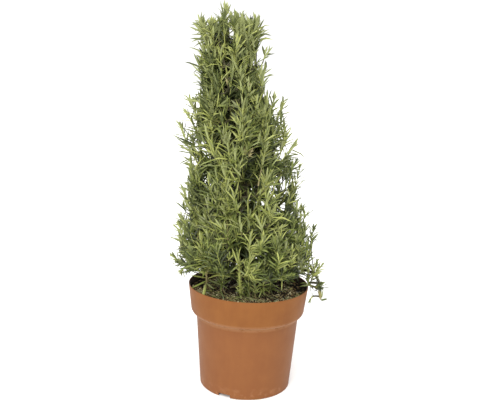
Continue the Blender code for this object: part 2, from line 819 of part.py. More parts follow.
def main():
    for obj in list(bpy.data.objects):
        bpy.data.objects.remove(obj)
    plant = bpy.data.objects.new("rosemary_in_pot", None)
    bpy.context.scene.collection.objects.link(plant)
    plastic = new_material("terracotta plastic", "AA6E47", 0.55)
    compost = new_material("compost", "423F2A", 0.95)
    bark = new_material("rosemary bark", "7B6A4E", 0.85)
    leaf = new_material("rosemary leaves", "6C7542", 0.6)
    make_pot(plant, plastic)
    make_soil(plant, compost)
    limbs = [trunk_limb()]
    masses = [mass for tier in TIERS for mass in tier_masses(tier, limbs)]
    masses += [top_mass(limbs), drooping_mass(limbs)]
    for count, limb in enumerate(limbs):
        name, sides = (f"bough_{count}", BOUGH_SIDES) if count else ("trunk", TRUNK_SIDES)
        solid = swept(limb.path, limb.radii, sides, OFF_AXIS, first_direction=limb.heading)
        new_object(name, solid, bark, plant)
    for mass in masses:
        grow_mass(mass, limbs, leaf, plant)


main()
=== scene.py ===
"""The looks of a rosemary trained as a narrow, leaning pyramid, in its moulded nursery pot.

Metres, +Z up, front towards -Y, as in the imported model. The pot, the compost, the main stem
and the boughs are dressed as finer meshes in the places of their solids. Each mass of foliage
grows again by the source's rule, from the same bough's tip to the same skin of the crown, and
is carried on to finer twigs with leaves of life size. The shoots, leaves and gaps that stand out
in the photograph are written as the spots where they are seen, and its camera turns them into
places.
"""

import json
import logging
import math
import random
from dataclasses import dataclass, field, fields, replace
from enum import Enum
from functools import cache

import bmesh
import bpy
import numpy as np
from bmesh.types import BMesh, BMFace, BMVert
from bpy.types import Collection, Material, Mesh, Node, NodeSocket, NodeTree, Object
from mathutils import Matrix, Vector, noise

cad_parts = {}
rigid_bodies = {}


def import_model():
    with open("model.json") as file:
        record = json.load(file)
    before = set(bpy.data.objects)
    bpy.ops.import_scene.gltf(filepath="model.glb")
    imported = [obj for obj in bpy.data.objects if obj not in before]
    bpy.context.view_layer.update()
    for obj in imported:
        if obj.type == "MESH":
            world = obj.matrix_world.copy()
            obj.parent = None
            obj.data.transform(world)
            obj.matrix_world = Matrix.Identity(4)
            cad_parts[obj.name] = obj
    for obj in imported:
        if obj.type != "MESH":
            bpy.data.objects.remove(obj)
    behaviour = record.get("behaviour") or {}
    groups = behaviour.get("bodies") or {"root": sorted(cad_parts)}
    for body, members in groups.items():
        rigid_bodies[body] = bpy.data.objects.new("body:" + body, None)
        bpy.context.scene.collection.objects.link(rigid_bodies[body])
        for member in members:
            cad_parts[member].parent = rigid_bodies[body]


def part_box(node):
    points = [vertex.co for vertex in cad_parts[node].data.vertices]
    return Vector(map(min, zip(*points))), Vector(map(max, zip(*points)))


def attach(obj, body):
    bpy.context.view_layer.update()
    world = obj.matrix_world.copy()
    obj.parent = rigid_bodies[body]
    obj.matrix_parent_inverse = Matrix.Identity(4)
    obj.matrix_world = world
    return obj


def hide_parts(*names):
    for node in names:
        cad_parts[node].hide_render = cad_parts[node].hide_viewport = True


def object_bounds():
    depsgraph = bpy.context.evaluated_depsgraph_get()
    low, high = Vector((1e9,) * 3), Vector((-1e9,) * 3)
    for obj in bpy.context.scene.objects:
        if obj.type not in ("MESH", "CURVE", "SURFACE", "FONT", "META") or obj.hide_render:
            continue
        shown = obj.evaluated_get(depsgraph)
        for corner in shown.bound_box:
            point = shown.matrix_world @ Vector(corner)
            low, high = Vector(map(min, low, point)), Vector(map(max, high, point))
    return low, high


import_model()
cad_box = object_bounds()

LOG = logging.getLogger("rosemary")
BODY = "root"
MM = 0.001
UP = Vector((0, 0, 1))
OFF_AXIS = Vector((0.3, 1, 0.2))
PARALLEL = 1e-4
GAP = 0.3 * MM
GOLDEN_ANGLE = math.pi * (3 - math.sqrt(5))
GOLDEN_FRACTION = (math.sqrt(5) - 1) / 2
WELD = 1e-6


# Small helpers


def linear(hex_colour: str) -> tuple[float, float, float, float]:
    """Turns an sRGB hex value into linear colour.

    Args:
        hex_colour: Six hex digits, red first.

    Returns:
        Red, green, blue and a full alpha.
    """
    channels = [int(hex_colour[i : i + 2], 16) / 255 for i in (0, 2, 4)]
    return tuple(c / 12.92 if c <= 0.04045 else ((c + 0.055) / 1.055) ** 2.4 for c in channels) + (1.0,)


def set_up(tree: NodeTree, node: Node, settings: dict, links: dict) -> None:
    """Gives a node its settings and links.

    Args:
        tree: The node tree it is in.
        node: The node.
        settings: Values by property name, or by input name or number.
        links: Outputs of other nodes by input name or number.
    """
    for key, value in settings.items():
        if isinstance(key, str) and hasattr(node, key):
            setattr(node, key, value)
        else:
            node.inputs[key].default_value = value
    for key, output in links.items():
        tree.links.new(output, node.inputs[key])


def add_node(tree: NodeTree, kind: str, settings: dict, links: dict | None = None) -> Node:
    """Adds a node with its settings and links.

    Args:
        tree: The node tree it goes into.
        kind: The node's type.
        settings: Values by property name, or by input name or number.
        links: Outputs of other nodes by input name or number.

    Returns:
        The new node.
    """
    node = tree.nodes.new(kind)
    set_up(tree, node, settings, links or {})
    return node


def smooth(values: np.ndarray) -> np.ndarray:
    """Eases values from 0 to 1, and holds them there outside."""
    clipped = np.clip(values, 0, 1)
    return clipped * clipped * (3 - 2 * clipped)


def unit(rows: np.ndarray) -> np.ndarray:
    """Scales each row to a length of 1."""
    return rows / np.maximum(np.linalg.norm(rows, axis=-1, keepdims=True), WELD)


def seeded(name: str) -> np.random.Generator:
    """A generator of numbers that is the same each run for the same name."""
    return np.random.default_rng(list(name.encode()))


def arc(
    centre: tuple[float, float], radius: float, start: float, end: float, steps: int
) -> list[tuple[float, float]]:
    """Works out an arc of a profile.

    Args:
        centre: Its centre, as a radius from the axis and a height.
        radius: Its own radius.
        start: Its first angle in degrees.
        end: Its last angle in degrees.
        steps: How many chords it has.

    Returns:
        The points of the arc, with both ends.
    """
    angles = [math.radians(start + (end - start) * i / steps) for i in range(steps + 1)]
    return [(centre[0] + radius * math.cos(a), centre[1] + radius * math.sin(a)) for a in angles]


def turned(profile: list[tuple[float, float]], segments: int) -> BMesh:
    """Turns a profile about the upright axis into a closed shape.

    Args:
        profile: Radii and heights, with both ends on the axis.
        segments: The steps of the full turn.

    Returns:
        A bmesh with its normals outward.
    """
    bm = bmesh.new()
    points = [bm.verts.new((r, 0, z)) for r, z in profile]
    edges = [bm.edges.new(pair) for pair in zip(points, points[1:])]
    turn = {"cent": (0, 0, 0), "axis": (0, 0, 1), "angle": math.tau, "steps": segments}
    bmesh.ops.spin(bm, geom=points + edges, use_merge=True, **turn)
    bmesh.ops.remove_doubles(bm, verts=bm.verts, dist=WELD)
    bm.normal_update()
    bmesh.ops.recalc_face_normals(bm, faces=bm.faces)
    return bm


def extended(bm: BMesh, end: list, closed: bool) -> tuple[list, list]:
    """Extrudes a shape's end, by no length yet.

    Args:
        bm: The shape.
        end: The faces of its end.
        closed: Whether those faces stay, as the shape's root.

    Returns:
        The faces and the corners of the new end.
    """
    grown = bmesh.ops.extrude_face_region(bm, geom=end)["geom"]
    if not closed:
        bmesh.ops.delete(bm, geom=end, context="FACES_ONLY")
    faces = [part for part in grown if isinstance(part, BMFace)]
    return faces, [part for part in grown if isinstance(part, BMVert)]


def new_object(name: str, mesh: Mesh, finishes: list[Material]) -> Object:
    """Puts a mesh in the scene as an object at the origin.

    Args:
        name: The object's name.
        mesh: Its mesh, already in place.
        finishes: Its materials, in the order of its faces' numbers.

    Returns:
        The new object.
    """
    mesh.name = name
    for finish in finishes:
        mesh.materials.append(finish)
    obj = bpy.data.objects.new(name, mesh)
    bpy.context.scene.collection.objects.link(obj)
    return obj


def mesh_of(bm: BMesh, smooth_degrees: float | None = None) -> Mesh:
    """Turns a bmesh into a mesh and frees it.

    Args:
        bm: The bmesh.
        smooth_degrees: Shades it smooth, apart from edges sharper than this.

    Returns:
        The mesh.
    """
    mesh = bpy.data.meshes.new("made")
    bm.to_mesh(mesh)
    bm.free()
    if smooth_degrees is not None:
        mesh.shade_smooth()
        mesh.set_sharp_from_angle(angle=math.radians(smooth_degrees))
    return mesh


def settle(obj: Object, slot: str, *nodes: str) -> None:
    """Lets a finished piece ride on the plant, and reports it.

    Args:
        obj: The piece.
        slot: Not used.
        *nodes: The CAD nodes that it stands for.
    """
    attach(obj, BODY)
    if nodes:
        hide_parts(*nodes)
    triangles = sum(len(face.vertices) - 2 for face in obj.data.polygons)
    LOG.info("%s: %d triangles in place of %s", obj.name, triangles, ", ".join(nodes) or "nothing")


# Finishes


def new_material(name: str) -> tuple[Material, NodeTree, Node]:
    """Makes a material that holds only its shader.

    Args:
        name: The material's name.

    Returns:
        The material, its node tree and its shader.
    """
    made = bpy.data.materials.new(name)
    made.use_nodes = True
    return made, made.node_tree, made.node_tree.nodes["Principled BSDF"]


def noisy(
    tree: NodeTree, place: NodeSocket, size: float, detail: float, roughness: float = 0.5
) -> NodeSocket:
    """Adds cloudy noise.

    Args:
        tree: The node tree it goes into.
        place: The place on the object.
        size: The size of its clouds.
        detail: How many times finer noise is added to it.
        roughness: How strong the finer noise is.

    Returns:
        The noise.
    """
    settings = {"Scale": 1 / size, "Detail": detail, "Roughness": roughness}
    return add_node(tree, "ShaderNodeTexNoise", settings, {"Vector": place}).outputs["Fac"]


def ranged(
    tree: NodeTree, value: NodeSocket, old: tuple[float, float], new: tuple[float, float] = (0, 1)
) -> NodeSocket:
    """Maps a value from one range to another, and holds it within that.

    Args:
        tree: The node tree it goes into.
        value: The value.
        old: The range that it is read in.
        new: The range that it is mapped to.

    Returns:
        The mapped value.
    """
    settings = {"From Min": old[0], "From Max": old[1], "To Min": new[0], "To Max": new[1]}
    return add_node(tree, "ShaderNodeMapRange", settings, {"Value": value}).outputs[0]


def reckoned(tree: NodeTree, operation: str, *terms: NodeSocket | float) -> NodeSocket:
    """Adds one step of arithmetic.

    Args:
        tree: The node tree it goes into.
        operation: The node's name for the step.
        *terms: Outputs or numbers.

    Returns:
        The result.
    """
    numbers = {i: term for i, term in enumerate(terms) if isinstance(term, float)}
    outputs = {i: term for i, term in enumerate(terms) if i not in numbers}
    return add_node(tree, "ShaderNodeMath", {"operation": operation, **numbers}, outputs).outputs[0]


def mixed(tree: NodeTree, share: NodeSocket, under: NodeSocket | str, over: str) -> NodeSocket:
    """Lays a colour over another.

    Args:
        tree: The node tree it goes into.
        share: How much of the upper colour shows.
        under: The lower colour, as an output or in hex.
        over: The upper colour, in hex.

    Returns:
        The mixed colour.
    """
    settings, links = {"data_type": "RGBA", 7: linear(over)}, {0: share}
    if isinstance(under, str):
        settings[6] = linear(under)
    else:
        links[6] = under
    return add_node(tree, "ShaderNodeMix", settings, links).outputs[2]


def embossed(tree: NodeTree, height: NodeSocket, strength: float, depth: float) -> NodeSocket:
    """Adds relief.

    Args:
        tree: The node tree it goes into.
        height: The relief's height, from 0 to 1.
        strength: How much of it shows.
        depth: Its depth in life.

    Returns:
        The normal.
    """
    settings = {"Strength": strength, "Distance": depth}
    return add_node(tree, "ShaderNodeBump", settings, {"Height": height}).outputs[0]


@dataclass(frozen=True)
class Plain:
    """A living or loose thing of one colour, too small for a pattern of its own."""

    name: str
    colour: str
    roughness: float = 0.5
    specular: float = 0.4

    def material(self) -> Material:
        """Builds the material.

        Returns:
            It, with its values on the shader's own sockets.
        """
        made, tree, shader = new_material(self.name)
        look = {"Roughness": self.roughness, "Specular IOR Level": self.specular}
        set_up(tree, shader, {"Base Color": linear(self.colour), **look}, {})
        made.diffuse_color = linear(self.colour)
        return made


class Tint(Enum):
    """The leaf colours that shoots are dealt, upper side and underside. Rosemary leaves are leathery,
    so satin above, and felted below."""

    BRIGHT = ("999E57", "949A66")
    FRESH = ("737C3E", "747B4E")
    OLIVE = ("4F5928", "575F39")
    DEEP = ("2F3719", "3D4526")
    DULL = ("6D7248", "84895F")
    DRY = ("837B50", "938A66")


class Stem(Enum):
    """The colours of a shoot along its length: green at the tip, ripening to brown wood, or to tan
    on a young stem that stands bare."""

    GREEN = "9A9F57"
    RIPENING = "6C6B38"
    WOODY = "4A4630"
    TAN = "877D54"


@dataclass(frozen=True)
class ScuffsAndHighlight:
    """A belt of pale spots round the pot. Most are scuffs, but under the collar they also paint a highlight
    along its edge. Its values are the height of its middle, its reach up and down, the size of its spots,
    the noise that they start at and how strong they are."""

    middle: float
    reach: float
    spot: float
    start: float
    strength: float
    softness: float = 0.2

    def mask(self, tree: NodeTree, place: NodeSocket, height: NodeSocket) -> NodeSocket:
        """Adds the belt's mask.

        Args:
            tree: The material's node tree.
            place: The Object coordinates.
            height: The height on the pot.

        Returns:
            The mask.
        """
        far = reckoned(tree, "ABSOLUTE", reckoned(tree, "SUBTRACT", height, self.middle))
        near = ranged(tree, far, (0, self.reach), (1, 0))
        noise_range = (self.start, self.start + self.softness)
        spotty = ranged(tree, noisy(tree, place, self.spot, 4), noise_range, (0, self.strength))
        return reckoned(tree, "MULTIPLY", near, spotty)


@dataclass(frozen=True)
class MouldedPolypropylene:
    """Injection-moulded polypropylene, terracotta brown: an even satin skin that mirrors the sky softly
    along its edges, with faint flow marks. Below the collar it is duller and bluer. Under the collar runs a
    pale spotty line, partly scuffs and partly a painted highlight along the collar's lower edge that paints
    over the shade beneath it. It is also pale in patches at the foot, where it has been scuffed."""

    colour: str
    shade: str
    dust: str
    scuff: str
    collar_foot: float
    roughness: float = 0.52

    def material(self) -> Material:
        """Builds the material.

        Returns:
            It, with its patterns on Object coordinates.
        """
        made, tree, shader = new_material("moulded_polypropylene")
        place = add_node(tree, "ShaderNodeTexCoord", {}).outputs["Object"]
        height = add_node(tree, "ShaderNodeSeparateXYZ", {}, {0: place}).outputs[2]
        drawn_out = add_node(tree, "ShaderNodeMapping", {"Scale": (1, 1, 0.12)}, {"Vector": place})
        flow = noisy(tree, place, 28 * MM, 3, 0.55)
        streaks = noisy(tree, drawn_out.outputs[0], 9 * MM, 2)
        strengths = ((flow, 0.55), (streaks, 0.3))
        marks = [ranged(tree, source, (0.35, 0.7), (0, most)) for source, most in strengths]
        skin = mixed(tree, reckoned(tree, "ADD", *marks), self.colour, self.shade)
        # Below the collar the plastic is mixed, up to 0.3, towards a bluer and duller brown, fading in over
        # 8 mm
        below_collar = ranged(tree, height, (self.collar_foot, self.collar_foot - 8 * MM), (0, 0.3))
        toned = mixed(tree, below_collar, skin, self.dust)
        # The line under the collar is partly scuffs and partly a painted highlight along the collar's lower
        # edge, which also paints over the shade under it
        line = ScuffsAndHighlight(self.collar_foot + 0.5 * MM, 7 * MM, 5 * MM, 0.27, 0.48)
        patches = ScuffsAndHighlight(4 * MM, 16 * MM, 9 * MM, 0.5, 0.3)
        masks = [belt.mask(tree, place, height) for belt in (line, patches)]
        worn_and_highlit = mixed(tree, reckoned(tree, "MAXIMUM", *masks), toned, self.scuff)
        # The moulding texture is about 0.2 mm in life, drawn at 0.9 mm so that it shows
        relief = embossed(tree, noisy(tree, place, 0.9 * MM, 2), 0.12, 0.3 * MM)
        rough = ranged(tree, flow, (0, 1), (self.roughness - 0.05, self.roughness + 0.12))
        look = {"Specular IOR Level": 0.2, "Specular Tint": linear("F2E2B4")}
        set_up(tree, shader, look, {"Base Color": worn_and_highlit, "Roughness": rough, "Normal": relief})
        return made


@dataclass(frozen=True)
class Mottled:
    """A rough natural surface of two colours, such as bark or damp peat, in which light is lost
    between the grains. Its grain may be drawn out along Z, as bark's fissures are."""

    name: str
    colour: str
    other: str
    grain: float
    drawn_out: float = 1.0
    roughness: float = 0.9
    depth: float = 0.4 * MM

    def material(self) -> Material:
        """Builds the material.

        Returns:
            It, with its patterns on Object coordinates.
        """
        made, tree, shader = new_material(self.name)
        place = add_node(tree, "ShaderNodeTexCoord", {}).outputs["Object"]
        stretch = {"Scale": (1, 1, 1 / self.drawn_out)}
        stretched = add_node(tree, "ShaderNodeMapping", stretch, {"Vector": place}).outputs[0]
        grain = noisy(tree, stretched, self.grain, 5, 0.65)
        blend = mixed(tree, ranged(tree, grain, (0.38, 0.64)), self.colour, self.other)
        relief = embossed(tree, grain, 0.7, self.depth)
        look = {"Roughness": self.roughness, "Specular IOR Level": 0.25}
        set_up(tree, shader, look, {"Base Color": blend, "Normal": relief})
        return made


# Materials by name
SHARED: dict[str, Material] = {}


def finish_once(finish: Plain) -> Material:
    """Makes a finish's material the first time only.

    Args:
        finish: The finish.

    Returns:
        Its material.
    """
    if finish.name not in SHARED:
        SHARED[finish.name] = finish.material()
    return SHARED[finish.name]


# Small shapes that are repeated


@dataclass(frozen=True)
class Template:
    """A small shape: its corners as (across, along, up), its triangles, and which face which way."""

    corners: np.ndarray
    triangles: np.ndarray
    upper: np.ndarray

    @staticmethod
    def read(bm: BMesh) -> "Template":
        """Reads a closed bmesh into arrays and frees it.

        Args:
            bm: The shape, with Y along it and Z up.

        Returns:
            The template.
        """
        bmesh.ops.triangulate(bm, faces=bm.faces)
        bm.normal_update()
        bmesh.ops.recalc_face_normals(bm, faces=bm.faces)
        bm.verts.index_update()
        corners = np.array([vert.co for vert in bm.verts])
        triangles = np.array([[vert.index for vert in face.verts] for face in bm.faces])
        upper = np.array([face.normal.z > -0.5 for face in bm.faces])
        bm.free()
        return Template(corners, triangles, upper)


def leaf_template() -> Template:
    """Makes a needle-like leaf: a flat underside, a ridged upper side, a narrow foot and a point.

    Returns:
        The template, 1 long, 2 wide and 1 high.
    """
    stations = ((0.0, 0.36), (0.26, 0.95), (0.7, 0.86), (1.0, 0.0))
    bm = bmesh.new()
    ring = bmesh.ops.create_circle(bm, cap_ends=True, segments=3, radius=1)["verts"]
    for vert, (across, up) in zip(ring, ((-1, 0), (1, 0), (0, 1))):
        vert.co = (across * stations[0][1], 0, up * stations[0][1])
    end = bm.faces[:]
    for (start, last), (along, width) in zip(stations, stations[1:]):
        end, corners = extended(bm, end, closed=start == 0)
        for vert in corners:
            vert.co = (vert.co.x * width / last, along, vert.co.z * width / last)
    bmesh.ops.remove_doubles(bm, verts=bm.verts, dist=WELD)
    return Template.read(bm)


def tube_template(sides: int, spans: int) -> Template:
    """Makes a tube that a shoot's stem is bent from.

    Args:
        sides: The corners of each ring.
        spans: The lengths between rings.

    Returns:
        The template, 1 long and of radius 1.
    """
    bm = bmesh.new()
    bmesh.ops.create_cone(bm, cap_ends=True, segments=sides, radius1=1, radius2=1, depth=1)
    bmesh.ops.rotate(bm, cent=(0, 0, 0), matrix=Matrix.Rotation(-math.pi / 2, 3, "X"), verts=bm.verts)
    bmesh.ops.translate(bm, vec=(0, 0.5, 0), verts=bm.verts)
    for i in range(1, spans):
        parts = bm.verts[:] + bm.edges[:] + bm.faces[:]
        bmesh.ops.bisect_plane(bm, geom=parts, plane_co=(0, i / spans, 0), plane_no=(0, 1, 0))
    return Template.read(bm)


def crumb_template() -> Template:
    """Makes a rough little lump.

    Returns:
        The template, of radius 1 and 20 faces.
    """
    bm = bmesh.new()
    bmesh.ops.create_icosphere(bm, subdivisions=1, radius=1)
    chance = random.Random("crumb")
    for vert in bm.verts:
        vert.co *= chance.uniform(0.7, 1.15)
    return Template.read(bm)


def joined(name: str, template: Template, corners: np.ndarray, numbers: np.ndarray) -> Mesh:
    """Joins many copies of a template into one mesh.

    Args:
        name: The mesh's name.
        template: The shape that is repeated.
        corners: The copies' corners, as copies by corners by 3.
        numbers: The material number of each triangle, as copies by triangles.

    Returns:
        The mesh.
    """
    copies, count = corners.shape[:2]
    starts = np.arange(copies)[:, None, None] * count
    loops = (template.triangles[None] + starts).reshape(-1)
    mesh = bpy.data.meshes.new(name)
    mesh.vertices.add(copies * count)
    mesh.vertices.foreach_set("co", corners.astype(np.float32).reshape(-1))
    mesh.loops.add(len(loops))
    mesh.loops.foreach_set("vertex_index", loops.astype(np.int32))
    mesh.polygons.add(len(loops) // 3)
    mesh.polygons.foreach_set("loop_start", np.arange(0, len(loops), 3, dtype=np.int32))
    mesh.polygons.foreach_set("material_index", numbers.astype(np.int32).reshape(-1))
    mesh.update(calc_edges=True)
    mesh.validate()
    mesh.shade_smooth()
    mesh.set_sharp_from_angle(angle=math.radians(50))
    return mesh


# Pot


@dataclass
class NurseryPot:
    """The turned shell: a deep collar over a tapering body on a notched foot ring."""

    height: float = field(default_factory=lambda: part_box("pot")[1].z)
    rim_radius: float = field(default_factory=lambda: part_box("pot")[1].x)
    collar_height: float = 46.5 * MM
    collar_taper: float = 4.7 * MM
    collar_corner: float = 8.5 * MM
    collar_sweep: float = 75
    body_top_radius: float = 81.2 * MM
    body_foot_radius: float = 72.2 * MM
    wall: float = 1.5 * MM
    foot_round: float = 1.2 * MM
    pad_radius: float = 45 * MM
    channel_rise: float = 5.5 * MM
    channel_slope: float = 3 * MM
    foot_ring_width: float = 2.4 * MM
    notches: int = 3
    notch_width: float = 20.5 * MM
    notch_height: float = 5.4 * MM
    first_notch: float = math.radians(-115.2)
    drains: int = 9
    drain_radius: float = 4 * MM
    bead: float = 0.5 * MM
    segments: int = 168
    corner_steps: int = 7

    @property
    def collar_foot(self) -> float:
        """The height of the collar's lower edge."""
        return self.height - self.collar_height

    def inner_wall(self, clearance: float = 0.0) -> list[tuple[float, float]]:
        """Works out the pot's inside, from under the rim down to the wall's foot.

        Args:
            clearance: How far inside the wall the line runs.

        Returns:
            Radii and heights.
        """
        inset = self.wall + clearance
        corner_radius = self.rim_radius - self.collar_taper - self.collar_corner
        corner = (corner_radius, self.collar_foot + self.collar_corner)
        points = [(self.rim_radius - inset, self.height - self.wall / 2)]
        points += arc(corner, self.collar_corner - inset, 0, -self.collar_sweep, self.corner_steps)
        points += [(self.body_top_radius - inset, self.collar_foot + inset)]
        foot = self.channel_rise + self.wall + 2 * self.foot_round + clearance
        return points + [(self.body_foot_radius - inset, foot)]

    def inner_floor(self, clearance: float = 0.0) -> list[tuple[float, float]]:
        """Works out the inside floor, from the wall in to the axis.

        Args:
            clearance: How far above the floor the line runs.

        Returns:
            Radii and heights.
        """
        top = self.wall + clearance
        return [
            (self.body_foot_radius - top - self.foot_round, self.channel_rise + top),
            (self.pad_radius + self.channel_slope - clearance, self.channel_rise + top),
            (self.pad_radius - self.wall - clearance, top),
            (0, top),
        ]

    def profile(self) -> list[tuple[float, float]]:
        """Works out the cut profile.

        Returns:
            Radii and heights, from the axis under the pad, up the outside and back down the inside.
        """
        ring = self.body_foot_radius - self.foot_ring_width
        corner_radius = self.rim_radius - self.collar_taper - self.collar_corner
        corner = (corner_radius, self.collar_foot + self.collar_corner)
        under = [
            (0, 0),
            (self.pad_radius, 0),
            (self.pad_radius + self.channel_slope, self.channel_rise),
            (ring, self.channel_rise),
            (ring, 0),
        ]
        foot_middle = (self.body_foot_radius - self.foot_round, self.foot_round)
        foot = arc(foot_middle, self.foot_round, -90, 0, self.corner_steps)
        # A fine moulded bead runs round under the collar, where the scuffs and the painted highlight sit
        bead_middle = (self.body_top_radius + self.bead, self.collar_foot - self.bead)
        body = arc(bead_middle, self.bead, -120, 60, self.corner_steps)
        collar = arc(corner, self.collar_corner, -self.collar_sweep, 0, self.corner_steps)
        lip_middle = (self.rim_radius - self.wall / 2, self.height - self.wall / 2)
        lip = arc(lip_middle, self.wall / 2, 0, 180, self.corner_steps)
        return under + foot + body + collar + lip[:-1] + self.inner_wall() + self.inner_floor()

    def cutters(self) -> Collection:
        """Makes the blocks and pins that cut the notches and the drain holes.

        Returns:
            A collection that holds them.
        """
        cuts = bpy.data.collections.new("pot_cuts")
        middle = (self.pad_radius + self.body_foot_radius) / 2
        shapes = []
        for i in range(self.notches):
            turn = Matrix.Rotation(self.first_notch + math.tau * i / self.notches, 4, "Z")
            place = turn @ Matrix.Translation((self.body_foot_radius - self.foot_ring_width / 2, 0, 0))
            size = (3 * self.foot_ring_width, self.notch_width, 2 * self.notch_height)
            notch = bmesh.new()
            bmesh.ops.create_cube(notch, size=1, matrix=place @ Matrix.Diagonal((*size, 1)))
            top = [vert for vert in notch.verts if abs(vert.co.z - self.notch_height) < WELD]
            upper = [edge for edge in notch.edges if all(vert in top for vert in edge.verts)]
            rounding = {"offset": self.foot_round, "segments": 3, "profile": 0.5, "material": -1}
            bmesh.ops.bevel(notch, geom=upper, affect="EDGES", **rounding)
            shapes.append(notch)
        for i in range(self.drains):
            turn = Matrix.Rotation(self.first_notch + math.tau * i / self.drains, 4, "Z")
            place = turn @ Matrix.Translation((middle, 0, self.channel_rise + self.wall / 2))
            pin = {"radius1": self.drain_radius, "radius2": self.drain_radius, "depth": 4 * self.wall}
            drain = bmesh.new()
            bmesh.ops.create_cone(drain, cap_ends=True, segments=24, matrix=place, **pin)
            shapes.append(drain)
        for bm in shapes:
            cuts.objects.link(bpy.data.objects.new("cutter", mesh_of(bm)))
        return cuts

    def build(self) -> None:
        """Makes the pot with its notches cut. It is dressed in clean plastic outside, and inside in plastic
        that is soil-stained and also painted dark for the shade in the pot.
        """
        shell = new_object("nursery_pot", mesh_of(turned(self.profile(), self.segments)), [])
        cuts = self.cutters()
        bpy.context.scene.collection.children.link(cuts)
        cut = shell.modifiers.new("notches and drains", "BOOLEAN")
        cut.operand_type = "COLLECTION"
        cut.collection = cuts
        bpy.context.view_layer.update()
        done = shell.evaluated_get(bpy.context.evaluated_depsgraph_get())
        mesh = bpy.data.meshes.new_from_object(done)
        bpy.data.objects.remove(shell)
        for cutter in list(cuts.objects):
            bpy.data.objects.remove(cutter)
        bpy.data.collections.remove(cuts)
        mesh.shade_smooth()
        mesh.set_sharp_from_angle(angle=math.radians(40))
        mesh.materials.clear()
        clean = MouldedPolypropylene("7C4E29", "714425", "7A4D38", "B48A69", self.collar_foot).material()
        # Inside the pot the plastic is partly soil stain and partly painted shade, in dark browns
        stained_and_shaded = Mottled("soil_stain_and_painted_shade", "2B2116", "4A3021", 6 * MM, roughness=0.7).material()
        pot = new_object("nursery_pot", mesh, [clean, stained_and_shaded])
        for face in mesh.polygons:
            inward = face.normal.x * face.center.x + face.normal.y * face.center.y < 0
            outside = self.rim_radius - self.wall < math.hypot(face.center.x, face.center.y)
            if inward and face.center.z > self.channel_rise + self.wall and not outside:
                face.material_index = 1
        settle(pot, "pot_plastic", "pot")


# Compost

# Each chip's place and radius in millimetres
PALE_CHIPS = ((68, 4, 3.6), (41, 10, 2.2), (45, -33, 2.4), (-59, -18, 2.2), (-46, -21, 1.9), (-31, -48, 2.1))


